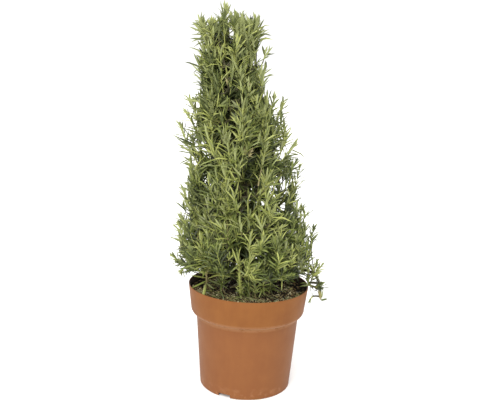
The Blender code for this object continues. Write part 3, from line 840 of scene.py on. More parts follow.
@dataclass
class Compost:
    """Damp peat compost that fills the pot, with crumbs, grit, moss and fallen leaves on it."""

    pot: NurseryPot
    top: float = 154.5 * MM
    uneven: float = 3.5 * MM
    flat_radius: float = 24 * MM
    lump: float = 18 * MM
    clod: float = 6 * MM
    clod_height: float = 1.6 * MM
    segments: int = 150
    rings: int = 60
    crumbs: int = 2600
    grits: int = 640
    needles: int = 150
    tufts: int = 110
    tuft_blades: int = 7
    pale_front: float = 50 * MM
    patch: float = 24 * MM
    front_limits: tuple[float, float] = (-0.3, 1)
    paleness: float = 0.4
    front_share: float = 0.45
    patch_share: float = 0.8
    pale_chance: float = 0.26
    seat: float = 0.4
    needle_lengths: tuple[float, float] = (12, 24)
    needle_widths: tuple[float, float] = (1.8, 2.8)
    blade_lengths: tuple[float, float] = (2.4, 4.5)
    blade_widths: tuple[float, float] = (0.9, 1.5)

    def height(self, x: float, y: float) -> float:
        """Works out the height of the compost's top.

        Args:
            x: Place across.
            y: Place front to back.

        Returns:
            The height, with the source's lumps and finer clods on them.
        """
        distance = math.hypot(x, y)
        fade = min(1, max(0, distance / self.flat_radius - 1))
        rough = self.uneven * noise.noise(Vector((x, y, 0)) / self.lump) * fade
        clods = self.clod_height * noise.fractal(Vector((x, y, 0)) / self.clod, 1.0, 2.0, 3)
        return self.top + rough + clods

    def edge_radius(self) -> float:
        """Works out how far out the top reaches.

        Returns:
            The radius, just clear of the pot's wall.
        """
        wall = self.pot.inner_wall(GAP)
        share = (self.pot.height - self.top) / (self.pot.height - wall[1][1])
        return wall[0][0] + (wall[1][0] - wall[0][0]) * share

    def body(self) -> Object:
        """Makes the filling, with its top worked into lumps and clods.

        Returns:
            The object.
        """
        edge = self.edge_radius()
        rings = [(edge * (i / self.rings) ** 0.7, self.top) for i in range(self.rings + 1)]
        wall = self.pot.inner_wall(GAP)[1:]
        profile = self.pot.inner_floor(GAP)[::-1] + wall[::-1] + rings[::-1]
        bm = turned(profile, self.segments)
        for vert in bm.verts:
            if abs(vert.co.z - self.top) < WELD:
                vert.co.z = self.height(vert.co.x, vert.co.y)
        finish = Mottled("damp_peat_compost", "17140E", "3A3021", 2.4 * MM, roughness=0.95, depth=1.2 * MM)
        return new_object("compost_fill", mesh_of(bm, 60), [finish.material()])

    def spots(self, count: int, name: str, inward: float = 4 * MM) -> np.ndarray:
        """Chooses places on the top.

        Args:
            count: How many.
            name: What they are for, which seeds the choice.
            inward: How far inside the edge they all are.

        Returns:
            Their points.
        """
        chance = seeded(name)
        radii = (self.edge_radius() - inward) * np.sqrt(chance.random(count))
        angles = chance.random(count) * math.tau
        flat = np.stack([radii * np.cos(angles), radii * np.sin(angles)], axis=1)
        heights = [self.height(x, y) for x, y in flat]
        return np.column_stack([flat, heights])

    def lumps(self, name: str, count: int, sizes: tuple[float, float], finishes: list[Plain]) -> None:
        """Strews crumbs or grit over the top, dark and pale in patches, and paler in front.

        Args:
            name: The piece's name.
            count: How many lumps.
            sizes: Their least and greatest radius.
            finishes: The finishes that they are dealt, the darkest first.
        """
        chance = seeded(name)
        template = crumb_template()
        spots = self.spots(count, name)
        radii = sizes[0] + (sizes[1] - sizes[0]) * chance.random(count) ** 1.8
        stretch = chance.uniform(0.6, 1.2, (count, 1, 3))
        turn = unit(chance.normal(size=(count, 4)))
        turned_corners = rotate(turn, template.corners[None] * stretch)
        spots[:, 2] += radii * self.seat
        corners = spots[:, None] + turned_corners * radii[:, None, None]
        patch = np.array([noise.noise(Vector(spot) / self.patch) for spot in spots])
        forward = np.clip(-spots[:, 1] / self.pale_front, *self.front_limits)
        share = self.paleness + self.front_share * forward + self.patch_share * patch
        share = share + chance.normal(0, self.pale_chance, count)
        numbers = np.clip(share * len(finishes), 0, len(finishes) - 1).astype(int)
        numbers = np.repeat(numbers, len(template.triangles))
        mesh = joined(name, template, corners, numbers)
        settle(new_object(name, mesh, [finish.material() for finish in finishes]), "compost")

    def chips(self) -> None:
        """Lays the pale chips that catch the eye on the right."""
        template = crumb_template()
        spots, radii = (np.array([chip[part] for chip in PALE_CHIPS]) * MM for part in (slice(2), 2))
        heights = [self.height(x, y) for x, y in spots]
        middles = np.column_stack([spots, heights])
        middles[:, 2] += radii * self.seat
        corners = middles[:, None] + template.corners[None] * radii[:, None, None]
        numbers = np.zeros((len(spots), len(template.triangles)))
        finish = Plain("pale_wood_chip", "A39A62", 0.85, 0.2)
        mesh = joined("wood_chips", template, corners, numbers)
        settle(new_object("wood_chips", mesh, [finish.material()]), "compost")

    def litter(self) -> None:
        """Lays fallen leaves on the compost, most of them dry."""
        chance = seeded("fallen_leaves")
        roots = self.spots(self.needles, "fallen_leaves", inward=14 * MM)
        turn = chance.random(self.needles) * math.tau
        rise = chance.uniform(-0.12, 0.3, self.needles)
        heading = unit(np.stack([np.cos(turn), np.sin(turn), rise], axis=1))
        roots[:, 2] += 1.3 * MM
        batch = LeafBatch(
            roots,
            heading,
            unit(np.array([0, 0, 1.0]) + chance.normal(0, 0.3, (self.needles, 3))),
            chance.uniform(*self.needle_lengths, self.needles) * MM,
            chance.uniform(*self.needle_widths, self.needles) * MM,
            chance.uniform(-0.5, 0.5, self.needles),
            chance.choice([Tint.DRY, Tint.DRY, Tint.DULL, Tint.FRESH], self.needles),
        )
        settle(batch.build("fallen_leaves"), "foliage")

    def moss(self) -> None:
        """Sets tufts of moss in patches over the compost."""
        chance = seeded("moss")
        spots = self.spots(self.tufts * 3, "moss", inward=3 * MM)
        forward = -0.8 * spots[:, 1] / self.pot.rim_radius
        patchy = forward + [noise.noise(Vector(spot) / (26 * MM)) for spot in spots]
        spots = spots[np.argsort(patchy)[::-1][: self.tufts]]
        roots = np.repeat(spots, self.tuft_blades, axis=0)
        count = len(roots)
        roots[:, :2] += chance.normal(0, 1.3 * MM, (count, 2))
        roots[:, 2] -= 0.5 * MM
        lean = chance.normal(0, 0.7, (count, 3))
        lean[:, 2] = 1
        batch = LeafBatch(
            roots,
            unit(lean),
            unit(chance.normal(size=(count, 3))),
            chance.uniform(*self.blade_lengths, count) * MM,
            chance.uniform(*self.blade_widths, count) * MM,
            chance.uniform(-0.4, 0.8, count),
            chance.choice([Tint.DULL, Tint.FRESH, Tint.OLIVE], count),
        )
        settle(batch.build("moss"), "compost")

    def build(self) -> None:
        """Makes the filling and all that lies on it."""
        settle(self.body(), "compost", "compost")
        dark = [Plain("peat_dark", "1A1610", 0.95, 0.1), Plain("peat_brown", "3A2F1F", 0.95, 0.1)]
        pale = [Plain("bark_chip", "675537", 0.9, 0.2), Plain("grit_tan", "8B7E59", 0.8, 0.3)]
        self.lumps("compost_crumbs", self.crumbs, (0.7 * MM, 3.2 * MM), dark + pale)
        pale += [Plain("perlite", "D2C79C", 0.8)]
        self.lumps("compost_grit", self.grits, (0.8 * MM, 2.9 * MM), pale)
        self.chips()
        self.moss()
        self.litter()


def rotate(turns: np.ndarray, points: np.ndarray) -> np.ndarray:
    """Turns points by unit quaternions.

    Args:
        turns: Quaternions, as copies by 4.
        points: Points, as copies by points by 3.

    Returns:
        The turned points.
    """
    scalar, vector = turns[:, None, :1], turns[:, None, 1:]
    vector = np.broadcast_to(vector, points.shape)
    twice = 2 * np.cross(vector, points)
    return points + scalar * twice + np.cross(vector, twice)


# Leaves and stems as arrays

# How high a leaf's ridge stands, as a share of half its width
LEAF_FULLNESS = 0.7


@dataclass
class LeafBatch:
    """Many leaves as arrays, a row for each."""

    roots: np.ndarray
    headings: np.ndarray
    uppers: np.ndarray
    lengths: np.ndarray
    widths: np.ndarray
    bends: np.ndarray
    tints: np.ndarray

    @staticmethod
    def gather(batches: list["LeafBatch"]) -> "LeafBatch":
        """Puts several batches together."""
        return LeafBatch(*map(np.concatenate, zip(*(batch.columns() for batch in batches))))

    def columns(self) -> list[np.ndarray]:
        """The arrays, in their order."""
        return [getattr(self, column.name) for column in fields(self)]

    def only(self, kept: np.ndarray) -> "LeafBatch":
        """The leaves that a mask keeps."""
        return LeafBatch(*(column[kept] for column in self.columns()))

    def points(self, share: float) -> np.ndarray:
        """The points on the leaves' middle lines at a share of their length."""
        along = self.headings * share - self.uppers * (self.bends * share**2 / 2)[:, None]
        return self.roots + along * self.lengths[:, None]

    def build(self, name: str) -> Object:
        """Makes the leaves as one joined mesh, each bent about its own crosswise line.

        Args:
            name: The object's name.

        Returns:
            The object, with an upper and an under material for each tint.
        """
        template = leaf_template()
        across, along, up = template.corners.T
        sideways = unit(np.cross(self.headings, self.uppers))
        uppers = unit(np.cross(sideways, self.headings))
        bend = self.bends[:, None] * along[None]
        tilted = uppers[:, None] + self.headings[:, None] * bend[..., None]
        line = self.headings[:, None] * along[None, :, None]
        line = line - uppers[:, None] * (bend * along[None] / 2)[..., None]
        corners = self.roots[:, None] + line * self.lengths[:, None, None]
        half = self.widths[:, None, None] / 2
        corners = corners + sideways[:, None] * half * across[None, :, None]
        corners = corners + tilted * half * LEAF_FULLNESS * up[None, :, None]
        order = list(Tint)
        number = {tint: i for i, tint in enumerate(order)}
        tints = np.array([number[tint] for tint in self.tints])
        under = np.where(template.upper, 0, len(order))
        mesh = joined(name, template, corners, tints[:, None] + under[None])
        finishes = [Plain(f"leaf_upper_{tint.name.lower()}", tint.value[0], 0.4, 0.35) for tint in order]
        finishes += [Plain(f"leaf_under_{tint.name.lower()}", tint.value[1], 0.75, 0.2) for tint in order]
        return new_object(name, mesh, [finish_once(finish) for finish in finishes])


# Crown


def along(stations: tuple[tuple[float, float], ...], height: float) -> float:
    """The value at a height between stations, each a pair of a height and a value."""
    return float(np.interp(height, *zip(*stations)))


@dataclass
class Crown:
    """The crown's outline from the source, a leaning axis and a radius at each height, with the
    smaller reach of the shoots' tips, which leaves overhang."""

    soil_top: float = 154.5 * MM
    foot_x: float = 3 * MM
    lean: float = 0.121
    height: float = 597 * MM
    outline: tuple[tuple[float, float], ...] = (
        (0.1545, 0.088), (0.205, 0.124), (0.305, 0.100), (0.440, 0.086), (0.492, 0.064), (0.575, 0.058),
        (0.597, 0.040),
    )
    shoot_tips: tuple[tuple[float, float], ...] = (
        (0.155, 0.080), (0.197, 0.106), (0.223, 0.110), (0.250, 0.103), (0.300, 0.086), (0.350, 0.083),
        (0.400, 0.074), (0.449, 0.066), (0.500, 0.050), (0.566, 0.043), (0.590, 0.034), (0.620, 0.020),
    )
    tier_rise: float = 85 * MM

    def axis_x(self, height: float) -> float:
        """How far across the leaning axis is at a height."""
        return self.foot_x - self.lean * (height - self.soil_top)

    def axis(self, height: float) -> Vector:
        """The point of the leaning axis at a height."""
        return Vector((self.axis_x(height), 0, height))

    def radius(self, height: float, leafy: bool = False) -> float:
        """The radius at a height of the source's skin, or of the shoots' tips."""
        return along(self.shoot_tips if leafy else self.outline, height)


CROWN = Crown()


@dataclass
class Cell:
    """One slice of one tier. Its floor climbs outwards, as the shoots do, and so may its roof."""

    azimuth: float
    half_angle: float
    low: float
    high: float
    roof_rise: float = CROWN.tier_rise

    def point(self, turn: float, reach: float, band: float, leafy: bool = False) -> Vector:
        """Finds a point of the cell.

        Args:
            turn: -1 to 1 across the slice.
            reach: 0 at the axis to 1 at the skin.
            band: 0 at the floor to 1 at the roof.
            leafy: Whether the reach is to the shoots' tips instead of the skin.

        Returns:
            The point.
        """
        floor = self.low + CROWN.tier_rise * reach
        roof = self.high + self.roof_rise * reach
        height = floor + (roof - floor) * band
        angle = self.azimuth + self.half_angle * turn
        outward = Vector((math.cos(angle), math.sin(angle), 0))
        return CROWN.axis(height) + outward * CROWN.radius(height, leafy) * reach


# Heights in millimetres, with how far left and right the crown reaches there
SIDES = (
    (167, -97, 98), (206, -111, 98), (246, -112, 93), (284, -104, 82), (321, -103, 71), (359, -101, 66),
    (396, -100, 50), (432, -97, 33), (468, -86, 18), (504, -91, 10), (539, -90, 3), (575, -92, -1),
)
# Places across in millimetres, with how high the crown reaches there
TOPS = (
    (-96, 569), (-90, 575), (-81, 570), (-75, 575), (-62, 575), (-57, 596), (-47, 596), (-44, 580),
    (-35, 587), (-28, 587), (-19, 580), (-7, 582), (5, 570), (20, 535), (60, 470),
)
# How far leaves pass that outline, and the skirt's hem, which climbs away from the middle
OVERHANG = 10 * MM
HEM_HEIGHT = 160 * MM
HEM_CLIMB = 0.32
HEM_MIDDLE = 20 * MM
HEM_SIDEWAYS = 0.6


def clear_of_pot(points: np.ndarray, pot: NurseryPot, compost: Compost) -> np.ndarray:
    """Tells which points clear the rim, the collar and the compost.

    Args:
        points: The points.
        pot: The pot.
        compost: The compost in it.

    Returns:
        A mask of the points.
    """
    room = 1.5 * MM
    distance = np.hypot(points[:, 0], points[:, 1])
    over = points[:, 2] > pot.height + room
    outside = distance > pot.rim_radius + room
    inside = distance < pot.rim_radius - pot.collar_taper - pot.wall - room
    return over | outside & (points[:, 2] > room) | inside & (points[:, 2] > compost.top + room)


def within_reach(points: np.ndarray) -> np.ndarray:
    """Tells which points lie inside the solids' box, or only a little past it."""
    low, high = (np.array(corner) for corner in cad_box)
    return np.all((points > low - OVERHANG) & (points < high + OVERHANG), axis=1)


Spot = tuple[float, ...]


@dataclass(frozen=True)
class View:
    """The camera of the photograph, fitted to the rim, the collar and the foot of the pot. It stands
    straight in front, a little above the plant. Its pixels count from the picture's top left corner.
    What a pixel shows on the crown is found in rounds, each a stride towards the crown's front."""

    place: tuple[float, float, float] = (0, -1.1, 0.522)
    pitch: float = math.radians(11.40)
    roll: float = math.radians(2.40)
    yaw: float = math.radians(0.17)
    focal_pixels: float = 720.7
    width: float = 500
    height: float = 400
    start_depth: float = -50 * MM
    side_depth: float = -4 * MM
    rounds: int = 12
    stride: float = 0.6

    def axes(self) -> tuple[np.ndarray, np.ndarray, np.ndarray]:
        """Works out which ways the camera faces.

        Returns:
            The ways to the right, up and forward in the picture.
        """
        forward = np.array([0, math.cos(self.pitch), -math.sin(self.pitch)])
        right = np.array([1.0, 0, 0])
        up = np.cross(right, forward)
        across = right * math.cos(self.roll) + up * math.sin(self.roll)
        upright = up * math.cos(self.roll) - right * math.sin(self.roll)
        turn = np.array(Matrix.Rotation(self.yaw, 3, "Z"))
        return turn @ across, turn @ upright, turn @ forward

    def point(self, across: float, down: float, depth: float) -> np.ndarray:
        """Finds the point that a pixel shows at a depth.

        Args:
            across: The pixel's place from the left.
            down: The pixel's place from the top.
            depth: The point's Y.

        Returns:
            The point.
        """
        right, up, forward = self.axes()
        sideways, below = across - self.width / 2, down - self.height / 2
        ray = forward + right * sideways / self.focal_pixels - up * below / self.focal_pixels
        return np.array(self.place) + ray * ((depth - self.place[1]) / ray[1])

    def point_on_crown(self, across: float, down: float, share: float) -> np.ndarray:
        """Finds the point that a pixel shows on the front of the crown, by closing in on it.

        Args:
            across: The pixel's place from the left.
            down: The pixel's place from the top.
            share: The share of the reach of the shoots' tips at which it lies.

        Returns:
            The point, which is near the crown's middle plane where the pixel is past its side.
        """
        depth = self.start_depth
        for _ in range(self.rounds):
            x, _, z = self.point(across, down, depth)
            radius = CROWN.radius(z, leafy=True) * share
            side = x - CROWN.axis_x(z)
            front = -math.sqrt(radius**2 - side**2) if abs(side) < radius else self.side_depth
            depth = depth * (1 - self.stride) + front * self.stride
        return self.point(across, down, depth)


VIEW = View()


@cache
def seen(spot: Spot, share: float = 1.0) -> tuple[int, ...]:
    """Finds what lies at a spot of the photograph.

    Args:
        spot: Its pixels across and down, and its Y in millimetres if it is not on the crown.
        share: The share of the reach of the shoots' tips at which it lies on the crown.

    Returns:
        The point in whole millimetres.
    """
    on_crown = len(spot) == 2
    point = VIEW.point_on_crown(*spot, share) if on_crown else VIEW.point(*spot[:2], spot[2] * MM)
    return tuple(round(value / MM) for value in point.tolist())


@dataclass(frozen=True)
class Gaps:
    """Ragged gaps among the shoots, open to a depth behind their mouths, which lie at a share of the
    reach of the shoots' tips. Each mouth has its pixels across and down and its radius in pixels,
    and a pixel there covers so many millimetres."""

    depth: float
    mouths: tuple[tuple[float, float, float], ...]
    share: float = 0.95
    pixel: float = 1.52
    grain: float = 7 * MM

    def left_free(self, points: np.ndarray) -> np.ndarray:
        """Tells which points leave the gaps free.

        Args:
            points: The points.

        Returns:
            A mask of the points.
        """
        free = np.ones(len(points), bool)
        ragged = np.array([1 + noise.noise(Vector(point) / self.grain) for point in points])
        for across, down, radius in self.mouths:
            mouth = np.array(seen((across, down), self.share)) * MM
            inward = unit(mouth - np.array(VIEW.place))
            run = (points - mouth) @ inward
            away = np.linalg.norm(points - mouth - run[:, None] * inward, axis=1)
            free &= (away > round(radius * self.pixel, 1) * MM * ragged) | (run > self.depth)
        return free


def clear_of_gaps(points: np.ndarray) -> np.ndarray:
    """Tells which points leave every gap free.

    Args:
        points: The points.

    Returns:
        A mask of the points.
    """
    if not len(points):
        return np.ones(0, bool)
    return DARK_GAPS.left_free(points) & LOW_GAPS.left_free(points) & OPEN_GAPS.left_free(points)


def inside_outline(points: np.ndarray, inward: float = 0) -> np.ndarray:
    """Tells which points lie inside the crown's outline from the front, or so far inside it.

    Args:
        points: The points.
        inward: How far inside.

    Returns:
        A mask of the points.
    """
    heights, left, right = (np.array(column) * MM for column in zip(*SIDES))
    places, tops = (np.array(column) * MM for column in zip(*TOPS))
    across, height = points[:, 0], points[:, 2]
    right_of_left = across > np.interp(height, heights, left) + inward
    left_of_right = across < np.interp(height, heights, right) - inward
    return right_of_left & left_of_right & (height < np.interp(across, places, tops) - inward)


def above_hem(points: np.ndarray) -> np.ndarray:
    """Tells which points lie above the skirt's hem, which climbs outwards and bares the compost."""
    away = np.hypot(HEM_SIDEWAYS * points[:, 0], points[:, 1] - HEM_MIDDLE)
    return points[:, 2] > HEM_HEIGHT + HEM_CLIMB * away


# Main stem and boughs


def bezier(a: Vector, b: Vector, c: Vector, share: float) -> Vector:
    """The point at a share of a quadratic curve."""
    return a * (1 - share) ** 2 + b * 2 * share * (1 - share) + c * share**2


def curve_points(a: Vector, b: Vector, c: Vector, stations: int) -> list[Vector]:
    """Points spread evenly along a quadratic curve."""
    return [bezier(a, b, c, i / (stations - 1)) for i in range(stations)]


def frame_at(point: Vector, direction: Vector, upward: Vector) -> Matrix:
    """Makes a matrix at a point of a path.

    Args:
        point: The point.
        direction: The way the path runs, which Z takes.
        upward: The way that X takes as nearly as it can.

    Returns:
        The matrix.
    """
    z = direction.normalized()
    y = z.cross(upward)
    if y.length < PARALLEL:
        y = z.cross(OFF_AXIS)
    y.normalize()
    x = y.cross(z)
    return Matrix.Translation(point) @ Matrix((x, y, z)).transposed().to_4x4()


# The bark's relief: its ridges round the limb and along it, and heights as shares of the radius
RIDGES_ROUND = 1.9
RIDGE_LENGTH = 11 * MM
KNOT_LENGTH = 16 * MM
KNOT_START = 0.25
FURROW = 0.96
RIDGE = 0.2
KNOT = 0.35


@dataclass
class Limb:
    """The main stem or a bough: its name, centre line, radii and the way its root cut faces."""

    name: str
    path: list[Vector]
    radii: list[float]
    heading: Vector
    sides: int = 12

    def tip(self) -> tuple[Vector, Vector]:
        """Where a stem starts just clear of the limb's tip, and which way it heads."""
        heading = (self.path[-1] - self.path[-2]).normalized()
        return self.path[-1] + heading * GAP, heading

    def build(self, finish: Material) -> None:
        """Sweeps the limb, and works the bark's ridges, flakes and knots into its surface.

        Args:
            finish: The bark.
        """
        directions = [(b - a).normalized() for a, b in zip(self.path, self.path[1:])]
        tangents = [a + b for a, b in zip(directions, directions[1:])]
        tangents = [self.heading] + tangents + [directions[-1]]
        upward = OFF_AXIS
        bm = bmesh.new()
        frames = []
        for point, tangent, radius in zip(self.path, tangents, self.radii):
            place = frame_at(point, tangent, upward)
            upward = place.to_3x3() @ Vector((1, 0, 0))
            frames.append(place @ Matrix.Diagonal((radius, radius, 1, 1)))
        bmesh.ops.create_circle(bm, cap_ends=True, segments=self.sides, radius=1, matrix=frames[0])
        end = bm.faces[:]
        rings = [(frames[0], 0.0, bm.verts[:])]
        run = 0.0
        for last, following in zip(frames, frames[1:]):
            end, corners = extended(bm, end, closed=last is frames[0])
            bmesh.ops.transform(bm, matrix=following @ last.inverted(), verts=corners)
            run += (following.translation - last.translation).length
            rings.append((following, run, corners))
        for place, run, corners in rings:
            for vert in corners:
                self.roughen(vert, place, run)
        bm.normal_update()
        bmesh.ops.recalc_face_normals(bm, faces=bm.faces)
        settle(new_object(f"bark_{self.name}", mesh_of(bm, 70), [finish]), "bark", self.name)

    def roughen(self, vert: BMVert, place: Matrix, run: float) -> None:
        """Moves a corner in or out by the bark's relief.

        Args:
            vert: The corner.
            place: Its ring's matrix.
            run: How far along the limb the ring is.
        """
        local = place.inverted() @ vert.co
        spot = Vector((local.x * RIDGES_ROUND, local.y * RIDGES_ROUND, run / RIDGE_LENGTH))
        ridges = abs(noise.noise(spot + Vector((0, 0, len(self.name)))))
        knots = max(0, noise.noise(Vector((local.x, local.y, run / KNOT_LENGTH))) - KNOT_START)
        vert.co = place @ (local * (FURROW + RIDGE * ridges + KNOT * knots))


@dataclass
class Wood:
    """The main stem and its boughs, on the source's centre lines with finer stations."""

    trunk_foot: float = 6.2 * MM
    trunk_tip: float = 2.2 * MM
    flare: float = 4.2 * MM
    flare_height: float = 12 * MM
    trunk_top: float = 470 * MM
    trunk_stations: int = 110
    trunk_sides: int = 20
    step: float = 1.5 * MM
    sway: float = 2.6 * MM
    sway_length: float = 210 * MM
    bough_root: float = 3.4 * MM
    bough_tip: float = 2.1 * MM
    bough_stations: int = 26
    elbow_out: float = 0.75
    elbow_up: float = 0.15
    bough_reach: float = 0.24
    droop_start: float = 181.5 * MM
    droop_crest: tuple[float, float] = (66 * MM, 197 * MM)
    droop_over_rim: tuple[float, float] = (101 * MM, 180 * MM)
    limbs: list[Limb] = field(default_factory=list)

    def trunk_point(self, height: float) -> Vector:
        """Works out the main stem's centre line, a slight sway about the crown's leaning axis.

        Args:
            height: The height.

        Returns:
            The point there.
        """
        climb = (height - CROWN.soil_top) / self.sway_length
        sway = self.sway * math.sin(math.tau * climb)
        bend = self.sway * math.sin(math.pi * climb)
        return CROWN.axis(height) + Vector((sway, bend, 0))

    def trunk_radius(self, height: float) -> float:
        """Works out the main stem's radius, with its flare at the compost.

        Args:
            height: The height.

        Returns:
            The radius there.
        """
        climb = height - CROWN.soil_top
        share = climb / (self.trunk_top - CROWN.soil_top)
        flare = self.flare * math.exp(-climb / self.flare_height)
        return self.trunk_foot + (self.trunk_tip - self.trunk_foot) * share + flare

    def add_trunk(self) -> None:
        """Adds the main stem, with its stations closer together at the flared foot."""
        foot = CROWN.soil_top + GAP
        shares = [(i / (self.trunk_stations - 1)) ** 1.3 for i in range(self.trunk_stations)]
        heights = [foot + (self.trunk_top - foot) * share for share in shares]
        path = [self.trunk_point(h) for h in heights]
        radii = [self.trunk_radius(h) for h in heights]
        self.limbs.append(Limb("trunk", path, radii, UP, self.trunk_sides))

    def off_trunk(self, height: float, angle: float) -> tuple[Vector, Vector]:
        """Finds where a limb leaves the main stem, squarely and just clear of its bark.

        Args:
            height: The height it leaves at.
            angle: Its azimuth.

        Returns:
            The point and the way it heads.
        """
        run = (self.trunk_point(height + self.step) - self.trunk_point(height - self.step)).normalized()
        outward = Vector((math.cos(angle), math.sin(angle), 0))
        heading = (outward - run * outward.dot(run)).normalized()
        clearance = self.trunk_radius(height - self.bough_root) + GAP
        return self.trunk_point(height) + heading * clearance, heading

    def add_bough(self, path: list[Vector], heading: Vector) -> Limb:
        """Adds a bough along a path.

        Args:
            path: Its centre line.
            heading: The way its root cut faces.

        Returns:
            The bough.
        """
        last = len(path) - 1
        radii = [self.bough_root + (self.bough_tip - self.bough_root) * i / last for i in range(last + 1)]
        self.limbs.append(Limb(f"bough_{len(self.limbs)}", path, radii, heading))
        return self.limbs[-1]

    def rising_bough(self, height: float, angle: float, tip: Vector) -> Limb:
        """Adds a bough that leaves the main stem squarely and bends up.

        Args:
            height: The height it leaves at.
            angle: Its azimuth.
            tip: Where it ends.

        Returns:
            The bough.
        """
        start, outward = self.off_trunk(height, angle)
        elbow = start + outward * (tip - start).to_2d().length * self.elbow_out
        elbow.z += (tip.z - start.z) * self.elbow_up
        return self.add_bough(curve_points(start, elbow, tip, self.bough_stations), outward)

    def drooping_bough(self) -> Limb:
        """Adds the low bough on the right that arches out over the rim.

        Returns:
            The bough.
        """
        start, outward = self.off_trunk(self.droop_start, 0)
        crest = outward * self.droop_crest[0] + UP * self.droop_crest[1]
        tip = outward * self.droop_over_rim[0] + UP * self.droop_over_rim[1]
        return self.add_bough(curve_points(start, crest, tip, self.bough_stations), outward)

    def build(self) -> None:
        """Makes every limb in rosemary bark."""
        # Rosemary bark is grey-brown, thin and stringy, and peels in strips 2 to 3 mm wide
        bark = Mottled("rosemary_bark", "2E281C", "524A36", 2.6 * MM, drawn_out=4, depth=0.5 * MM).material()
        for limb in self.limbs:
            limb.build(bark)


# Foliage


@dataclass(frozen=True)
class Habit:
    """How rosemary grows: leaves in crossed pairs, short and upright at the tip, that spread, bend
    back and curl as they grow and age down the stem, and side shoots from the axils. Values by chance
    are a spread or a range, and each spread, length and bend is at the tip, more when grown, more
    when aged."""

    leaf_length: float = 25 * MM
    leaf_width: float = 2.8 * MM
    width_growth: float = 0.6
    widths: tuple[float, float] = (0.85, 1.15)
    pair_spacing: float = 4.4 * MM
    least_pairs: int = 3
    first_pair: float = 0.3
    crowding: float = 1.25
    pair_chance: float = 0.5 * MM
    twist: float = 0.18
    twist_chance: float = 0.22
    grown_by: float = 15 * MM
    aged_from: float = 26 * MM
    aged_over: float = 45 * MM
    spreads: tuple[float, float, float] = (12, 22, 8)
    spread_chance: float = 7
    roll_chance: float = 0.25
    growth: tuple[float, float] = (0.68, 0.32)
    lengths: tuple[float, float] = (0.8, 1.1)
    bends: tuple[float, float, float] = (0.1, 0.4, 0.4)
    curl: tuple[float, float] = (1.2, 0.25)
    straightening: tuple[float, float] = (1, 0.2)
    tip_tint: float = 0.6
    tint_chance: float = 0.55
    sprig_spacing: float = 38 * MM
    sprig_lengths: tuple[float, float] = (14 * MM, 34 * MM)
    sprig_shortening: tuple[float, float] = (1.1, 0.5)
    sprig_shares: tuple[float, float] = (0.22, 0.6)
    sprig_spreads: tuple[float, float] = (32, 52)
    sprig_ways: tuple[float, float, float] = (0.45, 0.4, 0.15)
    sprig_radius: float = 0.55
    sprig_leafy: float = 0.92
    sprig_leaf: float = 0.8


HABIT = Habit()


